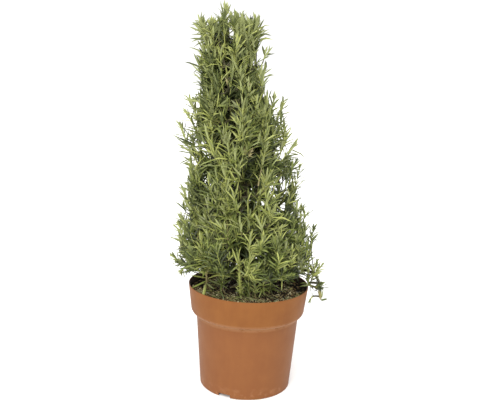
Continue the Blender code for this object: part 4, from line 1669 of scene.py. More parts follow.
@dataclass
class Shoot:
    """A leafy shoot, a quadratic curve with a slight wave in it."""

    root: Vector
    elbow: Vector
    tip: Vector
    radius: float
    tint: Tint
    leafy: float
    leaf_length: float
    wave: float = 0.0
    phase: float = 0.0
    fade: float = 30 * MM
    lush: float = 1.0
    tan: bool = False

    def length(self) -> float:
        """About how long it is."""
        spans = (self.elbow - self.root, self.tip - self.elbow, self.tip - self.root)
        return sum(span.length for span in spans) / 2

    def places(self, shares: np.ndarray) -> tuple[np.ndarray, np.ndarray, np.ndarray, np.ndarray]:
        """Finds places along the shoot.

        Args:
            shares: Shares of its length.

        Returns:
            The points, the headings there, and the two directions across.
        """
        root, elbow, tip = (np.array(corner) for corner in (self.root, self.elbow, self.tip))
        t = shares[:, None]
        points = root * (1 - t) ** 2 + elbow * 2 * t * (1 - t) + tip * t**2
        heading = unit((elbow - root) * (1 - t) + (tip - elbow) * t)
        side = unit(np.cross(tip - root, np.array(OFF_AXIS)))
        points = points + side * self.wave * 4 * t * (1 - t) * np.sin(self.phase + math.tau * t)
        second = unit(np.cross(heading, side))
        return points, heading, unit(np.cross(second, heading)), second

    def leaves(self, chance: np.random.Generator) -> LeafBatch:
        """Sets leaves in crossed pairs along the leafy part, short and upright near the tip.

        Args:
            chance: The source of small differences.

        Returns:
            The leaves.
        """
        size = math.sqrt(self.leaf_length / HABIT.leaf_length)
        pairs = max(HABIT.least_pairs, int(self.leafy / HABIT.pair_spacing / size * self.lush))
        from_tip = self.leafy * ((np.arange(pairs) + HABIT.first_pair) / pairs) ** HABIT.crowding
        from_tip = np.repeat(from_tip, 2) + chance.normal(0, HABIT.pair_chance, pairs * 2)
        count = len(from_tip)
        shares = np.clip(1 - from_tip / self.length(), 0, 1)
        points, heading, first, second = self.places(shares)
        turn = np.arange(count) * math.pi + np.arange(count) // 2 * (math.pi / 2 + HABIT.twist)
        turn = turn + chance.normal(0, HABIT.twist_chance, count) + self.phase
        side = first * np.cos(turn)[:, None] + second * np.sin(turn)[:, None]
        grown = smooth(from_tip / HABIT.grown_by)
        aged = smooth((from_tip - HABIT.aged_from) / HABIT.aged_over)
        least, more, most = HABIT.spreads
        spread = least + more * grown + most * aged + chance.normal(0, HABIT.spread_chance, count)
        spread = np.radians(spread)[:, None]
        direction = heading * np.cos(spread) + side * np.sin(spread)
        upper = heading * np.sin(spread) - side * np.cos(spread)
        roll = chance.normal(0, HABIT.roll_chance, count)[:, None]
        upper = unit(upper * np.cos(roll) + np.cross(direction, upper) * np.sin(roll))
        young, growth = HABIT.growth
        lengths = self.leaf_length * (young + growth * grown) * chance.uniform(*HABIT.lengths, count)
        widths = HABIT.leaf_width * math.sqrt(self.lush) * size**HABIT.width_growth
        widths = widths * chance.uniform(*HABIT.widths, count)
        least, more, most = HABIT.bends
        bends = least + more * grown + most * aged + chance.gamma(*HABIT.curl, count)
        bends = bends - chance.gamma(*HABIT.straightening, count)
        tints = self.leaf_tints(from_tip, chance)
        return LeafBatch(points, direction, upper, lengths, widths, bends, tints)

    def leaf_tints(self, from_tip: np.ndarray, chance: np.random.Generator) -> np.ndarray:
        """Deals the shoot's tint to its leaves, a step lighter near the tip and darker far below.

        Args:
            from_tip: How far each leaf is from the tip.
            chance: The source of small differences.

        Returns:
            A tint for each leaf.
        """
        if self.tint in (Tint.DULL, Tint.DRY):
            return np.full(len(from_tip), self.tint, dtype=object)
        scale = [Tint.BRIGHT, Tint.FRESH, Tint.OLIVE, Tint.DEEP]
        step = scale.index(self.tint) + from_tip / self.fade - HABIT.tip_tint
        step = step + chance.normal(0, HABIT.tint_chance, len(from_tip))
        steps = np.clip(np.round(step), 0, len(scale) - 1).astype(int)
        return np.array(scale, dtype=object)[steps]

    def sprigs(self, chance: np.random.Generator) -> list["Shoot"]:
        """Grows side shoots out of the leaf axils.

        Args:
            chance: The source of small differences.

        Returns:
            The side shoots.
        """
        count = int(self.length() / HABIT.sprig_spacing)
        lowest, span = HABIT.sprig_shares
        shares = lowest + span * (np.arange(count) + chance.random(count)) / max(count, 1)
        points, heading, first, second = self.places(shares)
        own_way, stem_way, upward = HABIT.sprig_ways
        longest, shortening = HABIT.sprig_shortening
        grown = []
        for i in range(count):
            turn = self.phase + i * GOLDEN_ANGLE
            side = first[i] * math.cos(turn) + second[i] * math.sin(turn)
            spread = math.radians(chance.uniform(*HABIT.sprig_spreads))
            way = Vector(heading[i] * math.cos(spread) + side * math.sin(spread))
            length = chance.uniform(*HABIT.sprig_lengths) * (longest - shortening * shares[i])
            root = Vector(points[i])
            elbow = root + way * length * 0.5
            bent = way * own_way + Vector(heading[i]) * stem_way + UP * upward
            tip = elbow + bent * length * 0.5
            sizes = (self.radius * HABIT.sprig_radius, self.tint, length * HABIT.sprig_leafy)
            sizes += (self.leaf_length * HABIT.sprig_leaf,)
            grown.append(Shoot(root, elbow, tip, *sizes, phase=turn))
        return grown


# Heights, with how large the leaves are there
LEAF_SIZES = ((0.17, 0.75), (0.25, 0.85), (0.33, 1.0))
STEM_TIP_SHARE = 0.55
STEM_INSET = 5 * MM


def stem_mesh(name: str, shoots: list[Shoot]) -> Object:
    """Makes the stems of shoots as one joined mesh.

    Args:
        name: The object's name.
        shoots: The shoots.

    Returns:
        The object, green at the tips and woody at the roots.
    """
    template = tube_template(5, 9)
    across, run, up = template.corners.T
    corners = []
    for shoot in shoots:
        points, _, first, second = shoot.places(run)
        radii = shoot.radius * (1 - (1 - STEM_TIP_SHARE) * run)[:, None]
        corners.append(points + (first * across[:, None] + second * up[:, None]) * radii)
    middles = run[template.triangles].mean(axis=1)
    bare = np.array([1 - shoot.leafy / max(shoot.length(), WELD) for shoot in shoots])[:, None]
    ripeness = (middles[None] - bare) / (1 - bare)
    wood = np.array([3 if shoot.tan else 2 for shoot in shoots])[:, None]
    numbers = np.where(ripeness > 0.3, 0, np.where(ripeness > 0, 1, wood))
    finishes = [finish_once(Plain(f"stem_{stem.name.lower()}", stem.value, 0.6, 0.3)) for stem in Stem]
    return new_object(name, joined(name, template, np.array(corners), numbers), finishes)


@dataclass(frozen=True)
class Feature:
    """A shoot that stands out in the photograph: the spots where its leaves start and where its last
    leaves end, the length of its leaves and its stem's radius in millimetres, and the spot where
    its bare tan stem starts if that shows."""

    start: Spot
    tip: Spot
    tint: Tint = Tint.BRIGHT
    leaf: float = 26
    stem: float = 1.2
    foot: Spot | None = None
    lush: float = 1.25
    start_share: float = 0.85
    tip_share: float = 0.97


# Spots seen in the photograph, as pixels across and down, with a Y in millimetres where they are not on the
# crown's front
FEATURES = (
    # The leader and the shoots of the blunt top
    Feature((224, 42, -14), (225, 0, -8), leaf=28, stem=1.6),
    Feature((224, 60, -22), (224, 20, -14), Tint.FRESH, 24, 1.4, lush=0.9),
    Feature((225, 34, -12), (226.5, 3, -8), leaf=22, stem=1.0),
    Feature((223, 36, -14), (222.5, 13, -12), Tint.FRESH, 22, 1.0),
    Feature((226, 42, -14), (227, 18, -12), Tint.FRESH, 18, 1.0),
    Feature((222, 54, -24), (222, 30, -20), Tint.OLIVE, 22, 1.0, lush=0.9),
    Feature((226, 62, 14), (226, 26, 10), Tint.OLIVE, 24),
    Feature((234, 60, 16), (238, 24, 12), Tint.OLIVE, 24),
    Feature((218, 62, 14), (214, 28, 10), Tint.OLIVE, 24),
    Feature((244, 64, 14), (248, 26, 12), Tint.OLIVE, 24),
    Feature((210, 40), (196, 15), leaf=24),
    Feature((208, 38), (200, 15.5), Tint.FRESH, 24, 1.0),
    Feature((213, 44), (211.5, 15.5), leaf=24),
    Feature((211, 38), (208, 15.5), Tint.FRESH, 22, 1.0),
    Feature((215, 42), (216, 17), Tint.FRESH, 24),
    Feature((219, 42), (220.5, 14), Tint.OLIVE, 22, 1.0),
    Feature((213, 43), (197, 31), Tint.FRESH),
    Feature((217, 52, -21), (206, 24, -4), Tint.OLIVE, 24, 1.0),
    Feature((209, 59), (200, 39)),
    Feature((206, 72), (194, 57), Tint.OLIVE),
    Feature((214.5, 116), (199, 56), stem=1.9),
    Feature((218, 64), (209, 35)),
    Feature((216, 91), (209, 56), Tint.FRESH),
    Feature((222, 66), (219, 43), Tint.FRESH, 24),
    Feature((232, 28, -16), (231, 10, -12), Tint.DULL, 16, 0.8),
    Feature((236, 40), (234, 8)),
    Feature((239, 40), (240.5, 7.5)),
    Feature((238, 46), (237, 9), Tint.FRESH),
    Feature((243, 44), (243.5, 11.5), Tint.FRESH),
    Feature((246, 44), (246, 14.5), leaf=24),
    Feature((250, 46), (250, 14.5)),
    Feature((252, 48), (252.5, 17), Tint.FRESH, 24),
    Feature((255, 48), (255.2, 12)),
    Feature((256.5, 50), (258.5, 15.5), Tint.FRESH),
    Feature((254, 46, -4), (260, 26), Tint.FRESH, 22, 1.0),
    Feature((244.5, 52), (236, 30), Tint.DULL, 28),
    Feature((245, 54), (247.5, 30)),
    Feature((240, 84), (230, 44), stem=1.8),
    Feature((252, 70), (253, 33), Tint.FRESH),
    Feature((241.5, 74), (249, 45), leaf=24),
    Feature((262, 64, -20), (267, 45, -10), Tint.FRESH, 22),
    Feature((262, 94), (258.5, 61), Tint.FRESH),
    Feature((261, 84), (266.5, 62), Tint.FRESH, 22),
    # Down the left and the middle of the upper half
    Feature((199, 122), (186, 91)),
    Feature((206, 114), (194, 95), Tint.OLIVE),
    Feature((199, 133), (183, 107), leaf=24),
    Feature((200, 164), (177, 119), Tint.FRESH, stem=1.3),
    Feature((206, 142), (193, 118), Tint.OLIVE),
    Feature((219, 162), (203, 121), leaf=28, stem=1.8),
    Feature((215, 125), (208, 97), stem=1.6),
    Feature((216, 109), (230, 98), Tint.FRESH, 24),
    Feature((222, 143), (229, 121), Tint.FRESH, 24),
    Feature((245, 135), (232, 111), Tint.FRESH),
    Feature((243, 126), (243.5, 92), stem=1.8),
    Feature((243, 113), (232.5, 101), Tint.DULL, 22),
    Feature((241, 98), (241, 79), Tint.FRESH, 22),
    Feature((245, 100), (249, 75), leaf=24),
    Feature((240, 146), (239.5, 121), leaf=24),
    Feature((245, 141), (251, 114), Tint.FRESH, 24),
    Feature((246, 151), (255, 126), Tint.FRESH, 24),
    Feature((254, 148), (265, 130), leaf=24),
    Feature((232, 169), (226, 130), stem=1.6),
    Feature((233, 156), (237, 140), Tint.FRESH, 18, 1.0),
    Feature((259, 109), (251, 91), leaf=24),
    Feature((262, 131), (257, 103), leaf=24),
    Feature((266, 121, -18), (277, 90), Tint.FRESH, 22, 1.0),
    Feature((272, 133, -4), (286, 94), Tint.FRESH, 24),
    Feature((280, 153), (286, 118), stem=1.4),
    Feature((281, 150), (284, 126), leaf=24),
    Feature((279, 167), (298, 139), Tint.FRESH, 24),
    Feature((212, 153), (195, 131), Tint.OLIVE),
    Feature((284, 180), (300, 156), Tint.OLIVE, 22, 1.1),
    Feature((272, 142), (283, 110), Tint.OLIVE, 22, 1.1),
    Feature((200, 150), (187, 133), Tint.OLIVE, 24, 1.1),
    Feature((203, 106), (190, 98), Tint.FRESH, 22, 1.1),
    # Down the lower half
    Feature((200, 177), (188, 156), Tint.FRESH, 24),
    Feature((206, 206), (187, 177), Tint.FRESH, 24),
    Feature((197.5, 229), (180, 183), stem=1.6, foot=(193.5, 243, -44)),
    Feature((192, 215), (179, 201), Tint.OLIVE, 24),
    Feature((190, 231), (178, 211), Tint.FRESH, 24),
    Feature((188, 233), (176, 220), Tint.FRESH, 22),
    Feature((230, 214), (224, 159), leaf=28, stem=2.0),
    Feature((222, 213), (213, 187)),
    Feature((227, 223), (223, 199), foot=(227.8, 240, -82)),
    Feature((223.5, 236), (218.5, 219), leaf=22, stem=1.0),
    Feature((266, 227), (270, 197), stem=1.5),
    Feature((262, 168), (268, 139), leaf=18, foot=(258.5, 186, -66)),
    Feature((261, 193), (266, 173), leaf=18, stem=1.1),
    Feature((242, 237), (238, 213), leaf=24),
    Feature((248, 233), (250, 210), Tint.FRESH, 22),
    Feature((260, 237), (257.5, 212), leaf=22),
    Feature((291, 195), (302, 159), Tint.FRESH, 22, 1.1, lush=0.9),
    Feature((293, 220), (299, 198), Tint.FRESH, 22, 1.0, lush=0.9),
    Feature((299, 225), (305, 202), Tint.OLIVE, 22, 1.0, lush=0.9),
    Feature((284, 192), (287, 172), Tint.OLIVE, 22, 1.0, lush=0.9),
    # Low in front and on the right
    Feature((197, 255), (176, 221), stem=1.4),
    Feature((189, 264), (168, 254), Tint.FRESH, 15, 1.5),
    Feature((187, 263), (173, 261), Tint.OLIVE, 13),
    Feature((188, 264), (178, 274), Tint.FRESH, 14, 1.4),
    Feature((192, 264), (179, 243), Tint.OLIVE, 18, 1.0),
    Feature((196, 273), (184, 255), Tint.OLIVE, 18, 1.0),
    Feature((190, 250), (177, 232), Tint.FRESH, 18, 1.0),
    Feature((200, 268), (190, 250), Tint.FRESH, 18, 1.0),
    Feature((206, 271, -55), (200, 243, -80), leaf=22, stem=1.7, foot=(206.5, 287, -25)),
    Feature((205.5, 274, -50), (192, 260, -65), leaf=17, stem=1.3, foot=(206.5, 287, -25)),
    Feature((207, 274, -50), (213.5, 261, -65), Tint.FRESH, 17, 1.3, foot=(206.5, 287, -25)),
    Feature((240.5, 291, -54), (238.5, 260, -70), Tint.FRESH, 11, 3.0, foot=(241, 296, -45), lush=1.4),
    Feature((240, 274, -63), (238.5, 257, -72), leaf=12, stem=1.6, foot=(241, 297, -45)),
    Feature((222, 284, -50), (225, 264, -70), Tint.OLIVE, 16, 1.0, foot=(222, 291, -40)),
    Feature((249, 288, -54), (247, 262, -76), Tint.OLIVE, 16, 1.1, foot=(250, 297, -45)),
    Feature((255, 290, -54), (258, 270, -72), Tint.FRESH, 15, 1.0, foot=(256, 298, -48)),
    Feature((270, 286, -46), (275, 262, -70), Tint.OLIVE, 16, 1.0, foot=(269, 294, -35)),
    Feature((263, 288, -62), (265, 257, -78), Tint.FRESH, 22, 1.5),
    Feature((309, 283, -12), (310.5, 240, -9), Tint.FRESH, 17, 1.5),
    Feature((311.5, 250, -9), (314.5, 222, -7), Tint.OLIVE, 17, 1.0),
    Feature((309, 262, -12), (308, 236, -10), Tint.FRESH, 18, 1.1),
    Feature((312, 279, -12), (325, 261, -10), Tint.FRESH, 16),
    Feature((314, 272, -12), (318, 257, -12), Tint.FRESH, 14, 1.1),
    Feature((303, 262, -14), (306, 222, -10), Tint.OLIVE, 18, 1.0, lush=0.9),
    Feature((296, 240, -29), (303, 205), Tint.FRESH, 22, 1.0, lush=0.9),
    Feature((290, 226, -32), (296, 188), Tint.OLIVE, 22, 1.0, lush=0.9),
    Feature((288, 206, -7), (294, 170), Tint.FRESH, 22, 1.0, lush=0.9),
    Feature((280, 176, -28), (291, 146), Tint.OLIVE, 22, 1.0, lush=0.9),
    Feature((268, 150, -41), (274, 116, -29), Tint.FRESH, 22, 1.0, lush=0.9),
    Feature((298, 262), (296, 232), Tint.FRESH, 16, 0.9),
    Feature((290, 268), (293, 244), leaf=14, stem=0.9),
    Feature((303, 270), (302, 240), Tint.FRESH, 15, 0.9),
    Feature((284, 262), (286, 236), Tint.DULL, 16, 0.9),
    Feature((278, 266), (280, 242), Tint.FRESH, 18, 1.0),
    Feature((296, 276), (300, 256), Tint.DULL, 14, 0.8),
    Feature((227.5, 86, -51), (226, 77), Tint.DRY, 6, 0.5),
    Feature((248, 90, -48), (248.5, 79), Tint.DRY, 6, 0.5),
    Feature((246, 160, -70), (254, 147), Tint.DRY, 8, 0.6),
    Feature((246, 158, -69), (244, 147), Tint.DRY, 6, 0.8),
    # Hanging outside the pot
    Feature((309, 283, -4), (319, 291, -10), Tint.DEEP, 17, 2.4),
    Feature((316, 288, -10), (323, 281, -14), Tint.OLIVE, 16, 1.5),
    Feature((315, 287, -8), (323, 288, -12), Tint.DEEP, 16, 1.5),
    Feature((314, 296, -15), (307, 302.5, -20), Tint.OLIVE, 14, 1.8),
)


@dataclass(frozen=True)
class LoneLeaf:
    """One leaf that stands out by itself in the photograph: the spots of its ends, and its width in
    millimetres."""

    root: Spot
    tip: Spot
    tint: Tint = Tint.FRESH
    width: float = 2.2


LONE_LEAVES = (
    LoneLeaf((228, 15, -12), (230.8, 2, -12), Tint.OLIVE, 1.8),
    LoneLeaf((223, 13, -12), (217, 7, -10), Tint.DULL, 1.2),
    LoneLeaf((222, 9, -10), (220.3, 0, -10)),
    LoneLeaf((221.5, 21, -20), (213.5, 14, -16), Tint.OLIVE, 1.6),
    LoneLeaf((200, 26, -20), (194, 22, -12), Tint.OLIVE),
    LoneLeaf((259, 25, -12), (263.5, 21.5, -6), Tint.OLIVE, 2.0),
    LoneLeaf((258, 30, -12), (266, 25.5, -6), Tint.DULL, 1.8),
    LoneLeaf((258, 32, -12), (266.5, 28, -6), Tint.DULL, 1.6),
    LoneLeaf((258.5, 39, -12), (262.5, 35, -6), Tint.OLIVE, 1.8),
    LoneLeaf((266, 55.5, -14), (275.5, 53.3, -10), Tint.OLIVE, 3.6),
    LoneLeaf((265, 56, -14), (262, 45.5, -10), width=3.2),
    LoneLeaf((267, 56, -14), (269.8, 44.8, -10), width=3.2),
    LoneLeaf((256, 54, -20), (261.5, 59.5, -14), Tint.DULL, 1.0),
    LoneLeaf((260, 68), (267.3, 64.5)),
    LoneLeaf((261, 74), (268.3, 68.5)),
    LoneLeaf((261, 79), (270.5, 75), Tint.OLIVE, 3.0),
    LoneLeaf((263, 87), (268.5, 80.5), Tint.DULL, 2.0),
    LoneLeaf((209, 41.5, -30), (194.5, 40.3, -12), Tint.OLIVE),
    LoneLeaf((207, 55, -30), (197, 50.5, -12), Tint.OLIVE, 2.0),
    LoneLeaf((201, 75), (194.5, 71.5), width=2.0),
    LoneLeaf((203, 82), (195, 80.3), Tint.OLIVE, 2.0),
    LoneLeaf((201, 83.5), (192, 84)),
    LoneLeaf((203, 92), (194, 94.5)),
    LoneLeaf((189, 101), (181.5, 97.2), width=2.0),
    LoneLeaf((192, 107), (184.5, 104), Tint.OLIVE, 2.0),
    LoneLeaf((189, 136), (176, 120)),
    LoneLeaf((190, 129.5), (179, 130.5), Tint.OLIVE, 1.8),
    LoneLeaf((189, 136.5), (179.5, 131.5), width=2.0),
    LoneLeaf((192, 147), (176.8, 144.8)),
    LoneLeaf((190, 159), (184, 157.5), Tint.OLIVE, 1.8),
    LoneLeaf((192, 171), (185, 169), Tint.OLIVE, 2.0),
    LoneLeaf((192, 176.5), (184.5, 173.5), width=2.0),
    LoneLeaf((192, 185.5), (185, 184.5), width=2.0),
    LoneLeaf((184, 188), (178.5, 183.5), Tint.BRIGHT),
    LoneLeaf((188, 210), (180, 202.5), Tint.OLIVE),
    LoneLeaf((186, 219), (178, 212), Tint.DULL, 1.8),
    LoneLeaf((178, 241), (168, 236.5), Tint.OLIVE, 1.8),
    LoneLeaf((180, 248), (169, 250.5), Tint.OLIVE, 1.8),
    LoneLeaf((176, 236), (171, 225), Tint.OLIVE, 1.8),
    LoneLeaf((268, 101), (271.5, 89), Tint.OLIVE, 1.8),
    LoneLeaf((282, 109), (288.5, 106), width=2.4),
    LoneLeaf((281, 116), (291, 112.3), Tint.DULL, 1.5),
    LoneLeaf((285, 104), (289.7, 95.5), Tint.DULL, 1.6),
    LoneLeaf((276, 122.5), (292.5, 122.5), Tint.DULL, 1.3),
    LoneLeaf((277, 120.5), (289.5, 120), Tint.DULL, 1.3),
    LoneLeaf((285, 133), (291.2, 126)),
    LoneLeaf((286, 139), (292.5, 133.5)),
    LoneLeaf((300, 172), (308.5, 166), Tint.OLIVE, 1.7),
    LoneLeaf((298, 182), (309, 179.5), Tint.OLIVE, 1.7),
    LoneLeaf((294, 187.5), (302, 187), Tint.OLIVE, 1.6),
    LoneLeaf((294, 191), (299, 193.5), Tint.OLIVE, 1.6),
    LoneLeaf((301, 214.3), (313.5, 213.8), Tint.DULL, 1.8),
    LoneLeaf((301, 208), (308, 202.5), Tint.OLIVE, 1.8),
    LoneLeaf((299, 227, -12), (308, 229.5, -10), Tint.OLIVE, 1.6),
    LoneLeaf((309, 238, -12), (299.5, 228.5, -12), Tint.OLIVE, 1.8),
    LoneLeaf((308, 241, -12), (300, 233, -12), Tint.OLIVE, 1.6),
    LoneLeaf((311, 238, -10), (320.5, 229.8, -8), Tint.OLIVE, 1.7),
    LoneLeaf((312, 240, -10), (320, 232.8, -8), width=2.0),
    LoneLeaf((313, 238, -10), (319.5, 243.5, -8), Tint.OLIVE, 1.8),
    LoneLeaf((311, 253, -12), (321, 253.5, -8), Tint.DULL, 1.2),
    LoneLeaf((318, 271, -12), (330.5, 273, -10), Tint.DULL, 1.3),
    LoneLeaf((318, 268, -12), (321, 261.5, -10), width=2.0),
    LoneLeaf((319, 267, -12), (326.5, 266.5, -10)),
    LoneLeaf((238, 264, -72), (231.5, 247.5, -80), Tint.BRIGHT, 3.6),
    LoneLeaf((238.5, 262, -73), (236.5, 247, -80), width=3.2),
    LoneLeaf((239, 263, -73), (241.5, 247, -80), Tint.BRIGHT, 3.8),
    LoneLeaf((239, 262, -74), (239.5, 251, -80), Tint.BRIGHT, 3.2),
    LoneLeaf((238, 266, -71), (230, 273, -78), width=3.6),
    LoneLeaf((240, 266, -71), (249, 260, -78), Tint.OLIVE, 3.4),
    LoneLeaf((240, 270, -68), (247, 276, -74), width=3.2),
    LoneLeaf((213, 276, -50), (233, 274.5, -66), width=4.4),
    LoneLeaf((246, 264, -72), (257, 258, -80), width=3.6),
    LoneLeaf((245, 276, -62), (258, 281, -66), Tint.BRIGHT, 3.4),
    LoneLeaf((251, 276, -66), (253, 268, -72), Tint.DULL, 3.0),
    LoneLeaf((220, 290, -45), (224, 300, -58), Tint.OLIVE, 2.6),
    LoneLeaf((246, 284, -52), (249, 297, -58), Tint.OLIVE, 3.0),
    LoneLeaf((259, 287, -50), (266, 297, -60), width=2.8),
    LoneLeaf((206, 278, -45), (189.5, 275, -56), Tint.BRIGHT, 4.9),
    LoneLeaf((206, 281, -40), (190.5, 288, -58), width=4.7),
    LoneLeaf((206, 284, -36), (203, 297.5, -66), Tint.BRIGHT, 4.7),
    LoneLeaf((208, 280, -42), (229, 289.5, -62), width=4.9),
    LoneLeaf((208, 278.5, -45), (235, 273.5, -70), Tint.BRIGHT, 5.5),
    LoneLeaf((206, 276, -47), (192, 265, -64), width=4.7),
    LoneLeaf((207, 283, -37), (214, 289, -52), Tint.DULL, 3.9),
    LoneLeaf((207, 275, -49), (203, 263, -62), Tint.BRIGHT, 3.9),
    LoneLeaf((207, 275, -49), (217, 264, -62), width=3.0),
    LoneLeaf((244, 274.5, -70), (258, 283, -80), Tint.BRIGHT, 2.8),
    LoneLeaf((253, 279, -70), (256, 288, -76), Tint.OLIVE, 2.4),
    LoneLeaf((282, 276, -55), (281.5, 290, -64), Tint.BRIGHT),
    LoneLeaf((281, 276, -55), (288, 283, -60), Tint.OLIVE),
    LoneLeaf((262, 287, -62), (254, 292, -70)),
    LoneLeaf((263, 287, -62), (270, 293, -70)),
    LoneLeaf((263, 286, -62), (274, 287, -66), Tint.OLIVE, 2.4),
    LoneLeaf((262, 289, -66), (259, 298, -76)),
    LoneLeaf((241, 264, -74), (254, 256.5, -86), width=3.0),
    LoneLeaf((266, 268, -70), (276, 262, -80), width=2.4),
    LoneLeaf((246.8, 168.6, -64), (256.8, 171.8, -60), width=3.2),
    LoneLeaf((239, 178.5, -58), (255, 182.5, -54), Tint.OLIVE),
    LoneLeaf((238, 186, -59), (252, 189.5, -56.55), Tint.OLIVE, 2.4),
    LoneLeaf((252, 199, -62), (256, 192, -59), Tint.DULL, 2.4),
    LoneLeaf((254, 197, -56), (260, 204, -53.3), Tint.OLIVE, 3.2),
    LoneLeaf((245, 200, -59), (249, 209, -60), Tint.OLIVE, 2.4),
    LoneLeaf((240, 195, -64), (247, 190, -62.3)),
    LoneLeaf((262, 183, -49), (250, 176, -56), Tint.OLIVE),
    LoneLeaf((311, 285, -6), (303, 284.5, -12), Tint.DULL, 1.8),
    LoneLeaf((309, 285, -6), (314, 290, -12), Tint.DEEP, 3.2),
    LoneLeaf((319, 289, -11), (330.5, 287.5, -14), Tint.OLIVE, 3.0),
    LoneLeaf((320, 288, -11), (329.5, 283, -14), Tint.OLIVE, 3.0),
    LoneLeaf((320, 287, -11), (325.5, 280.5, -14), Tint.DULL, 2.8),
    LoneLeaf((315, 273, -10), (321, 285, -12), Tint.OLIVE),
    LoneLeaf((323.5, 288, -12), (321.5, 300, -15), Tint.DULL, 2.4),
    LoneLeaf((318.5, 289, -12), (320.5, 301, -15), Tint.DRY, 4.2),
    LoneLeaf((319.5, 297, -13), (310, 295.5, -16), Tint.OLIVE, 2.8),
    LoneLeaf((320.5, 299.8, -12), (328, 298.8, -15), Tint.OLIVE, 4.6),
    LoneLeaf((318.5, 301, -13), (323, 303, -15), Tint.DULL, 1.6),
    LoneLeaf((314, 296.5, -16), (310, 291.5, -18), Tint.OLIVE, 2.6),
    LoneLeaf((318, 289.5, -12), (313.5, 292, -12), Tint.DEEP, 3.2),
    LoneLeaf((316, 285, -9), (321, 291, -13), Tint.DEEP, 3.6),
    LoneLeaf((317, 284, -11), (320, 292, -14), Tint.DEEP, 3.6),
)

# Gaps that show the dark middle of the crown, the sky behind it, and the shade around the shoots
# that rise low in front
DARK_GAPS = Gaps(
    24 * MM,
    (
        (230, 40, 4), (226, 60, 4), (225, 68, 4.5), (220, 28, 2.5), (220, 36, 2.5), (220, 44, 2.5),
        (241, 63, 2.5), (247, 70, 3), (234, 104, 5), (235, 112, 5), (230, 120, 5), (231, 131, 4),
        (217, 142, 4), (222, 150, 3), (252, 88, 4), (226, 90, 3.5), (248, 177, 6), (243, 184, 4),
        (253, 184, 5), (242, 196, 4), (246, 205, 5), (253, 207, 4), (257, 152, 4), (245, 254, 4),
        (228, 266, 4),
    ),
)
OPEN_GAPS = Gaps(
    CROWN.height,
    (
        (230, 31.5, 2.8), (226.5, 53, 1.5), (260, 56, 3), (255.5, 62, 2), (198.5, 103, 2.5),
        (190, 123, 2.5), (196, 123, 1.5), (197, 145, 2.5), (204, 143, 2.5), (204, 151, 3), (209, 157, 2),
        (195, 162, 3.5), (206, 181, 2), (200, 180, 1.5), (210, 186, 1.5), (209, 199, 1.5), (262, 204, 2),
        (273, 218, 1.5), (251, 158, 1), (225, 108, 1.5), (227, 121, 1), (271, 188, 2.5), (276, 175, 1.5),
        (273, 155, 1.5), (278, 152, 1.5), (282, 156, 2.5), (283, 180, 3.5), (283, 187, 2.5),
        (283, 206, 3), (284, 148, 2.5), (289, 148, 2.5), (184, 260, 2.5),
    ),
)
LOW_GAPS = Gaps(
    70 * MM,
    (
        (206, 278, 5.5), (197, 282, 5), (218, 281, 5), (229, 284, 4.5), (206, 267, 3), (240, 268, 4.5),
        (240, 258, 3.5), (241, 278, 4.5), (241, 288, 5), (251, 286, 4),
    ),
)


@dataclass
class Tier:
    """One storey of the crown, cut into slices, with more shoots to each than the solids have."""

    name: str
    slices: int
    first_azimuth: float
    low: float
    high: float
    shoots: int
    bands: tuple[float, float]
    bough_rise: float = 0
    bough_band: float = 0


@dataclass(frozen=True)
class Layer:
    """A layer of shoots: how far out their tips reach, and how often each tint is dealt in it."""

    reach: tuple[float, float]
    weights: tuple[float, ...]


# The deeper layers are dealt darker tints, partly for older leaves and partly as painted shade for the
# crown's dark middle
OUTER = Layer((0.86, 1.02), (0.17, 0.42, 0.33, 0.03, 0.05, 0.0))
MIDDLE = Layer((0.52, 0.8), (0.0, 0.16, 0.42, 0.39, 0.03, 0.0))
INNER = Layer((0.15, 0.42), (0.0, 0.0, 0.2, 0.8, 0.0, 0.0))
LAYERS = (OUTER, MIDDLE, INNER, OUTER, INNER, OUTER)
# Each tint a step darker, dealt where shade falls: painted shade
PAINTED_SHADE = {Tint.BRIGHT: Tint.FRESH, Tint.FRESH: Tint.OLIVE, Tint.OLIVE: Tint.DEEP}
TIERS = (
    Tier("skirt", 5, math.radians(36), 0.065, 0.187, 31, (0.45, 0.98), 0.016, 0.80),
    Tier("lower", 4, math.radians(-90), 0.187, 0.288, 37, (0.03, 0.97), 0.022, 0.12),
    Tier("middle", 4, math.radians(-75), 0.288, 0.382, 37, (0.03, 0.97), 0.055, 0.12),
    Tier("upper", 3, math.radians(-100), 0.382, 0.462, 37, (0.03, 0.97)),
)


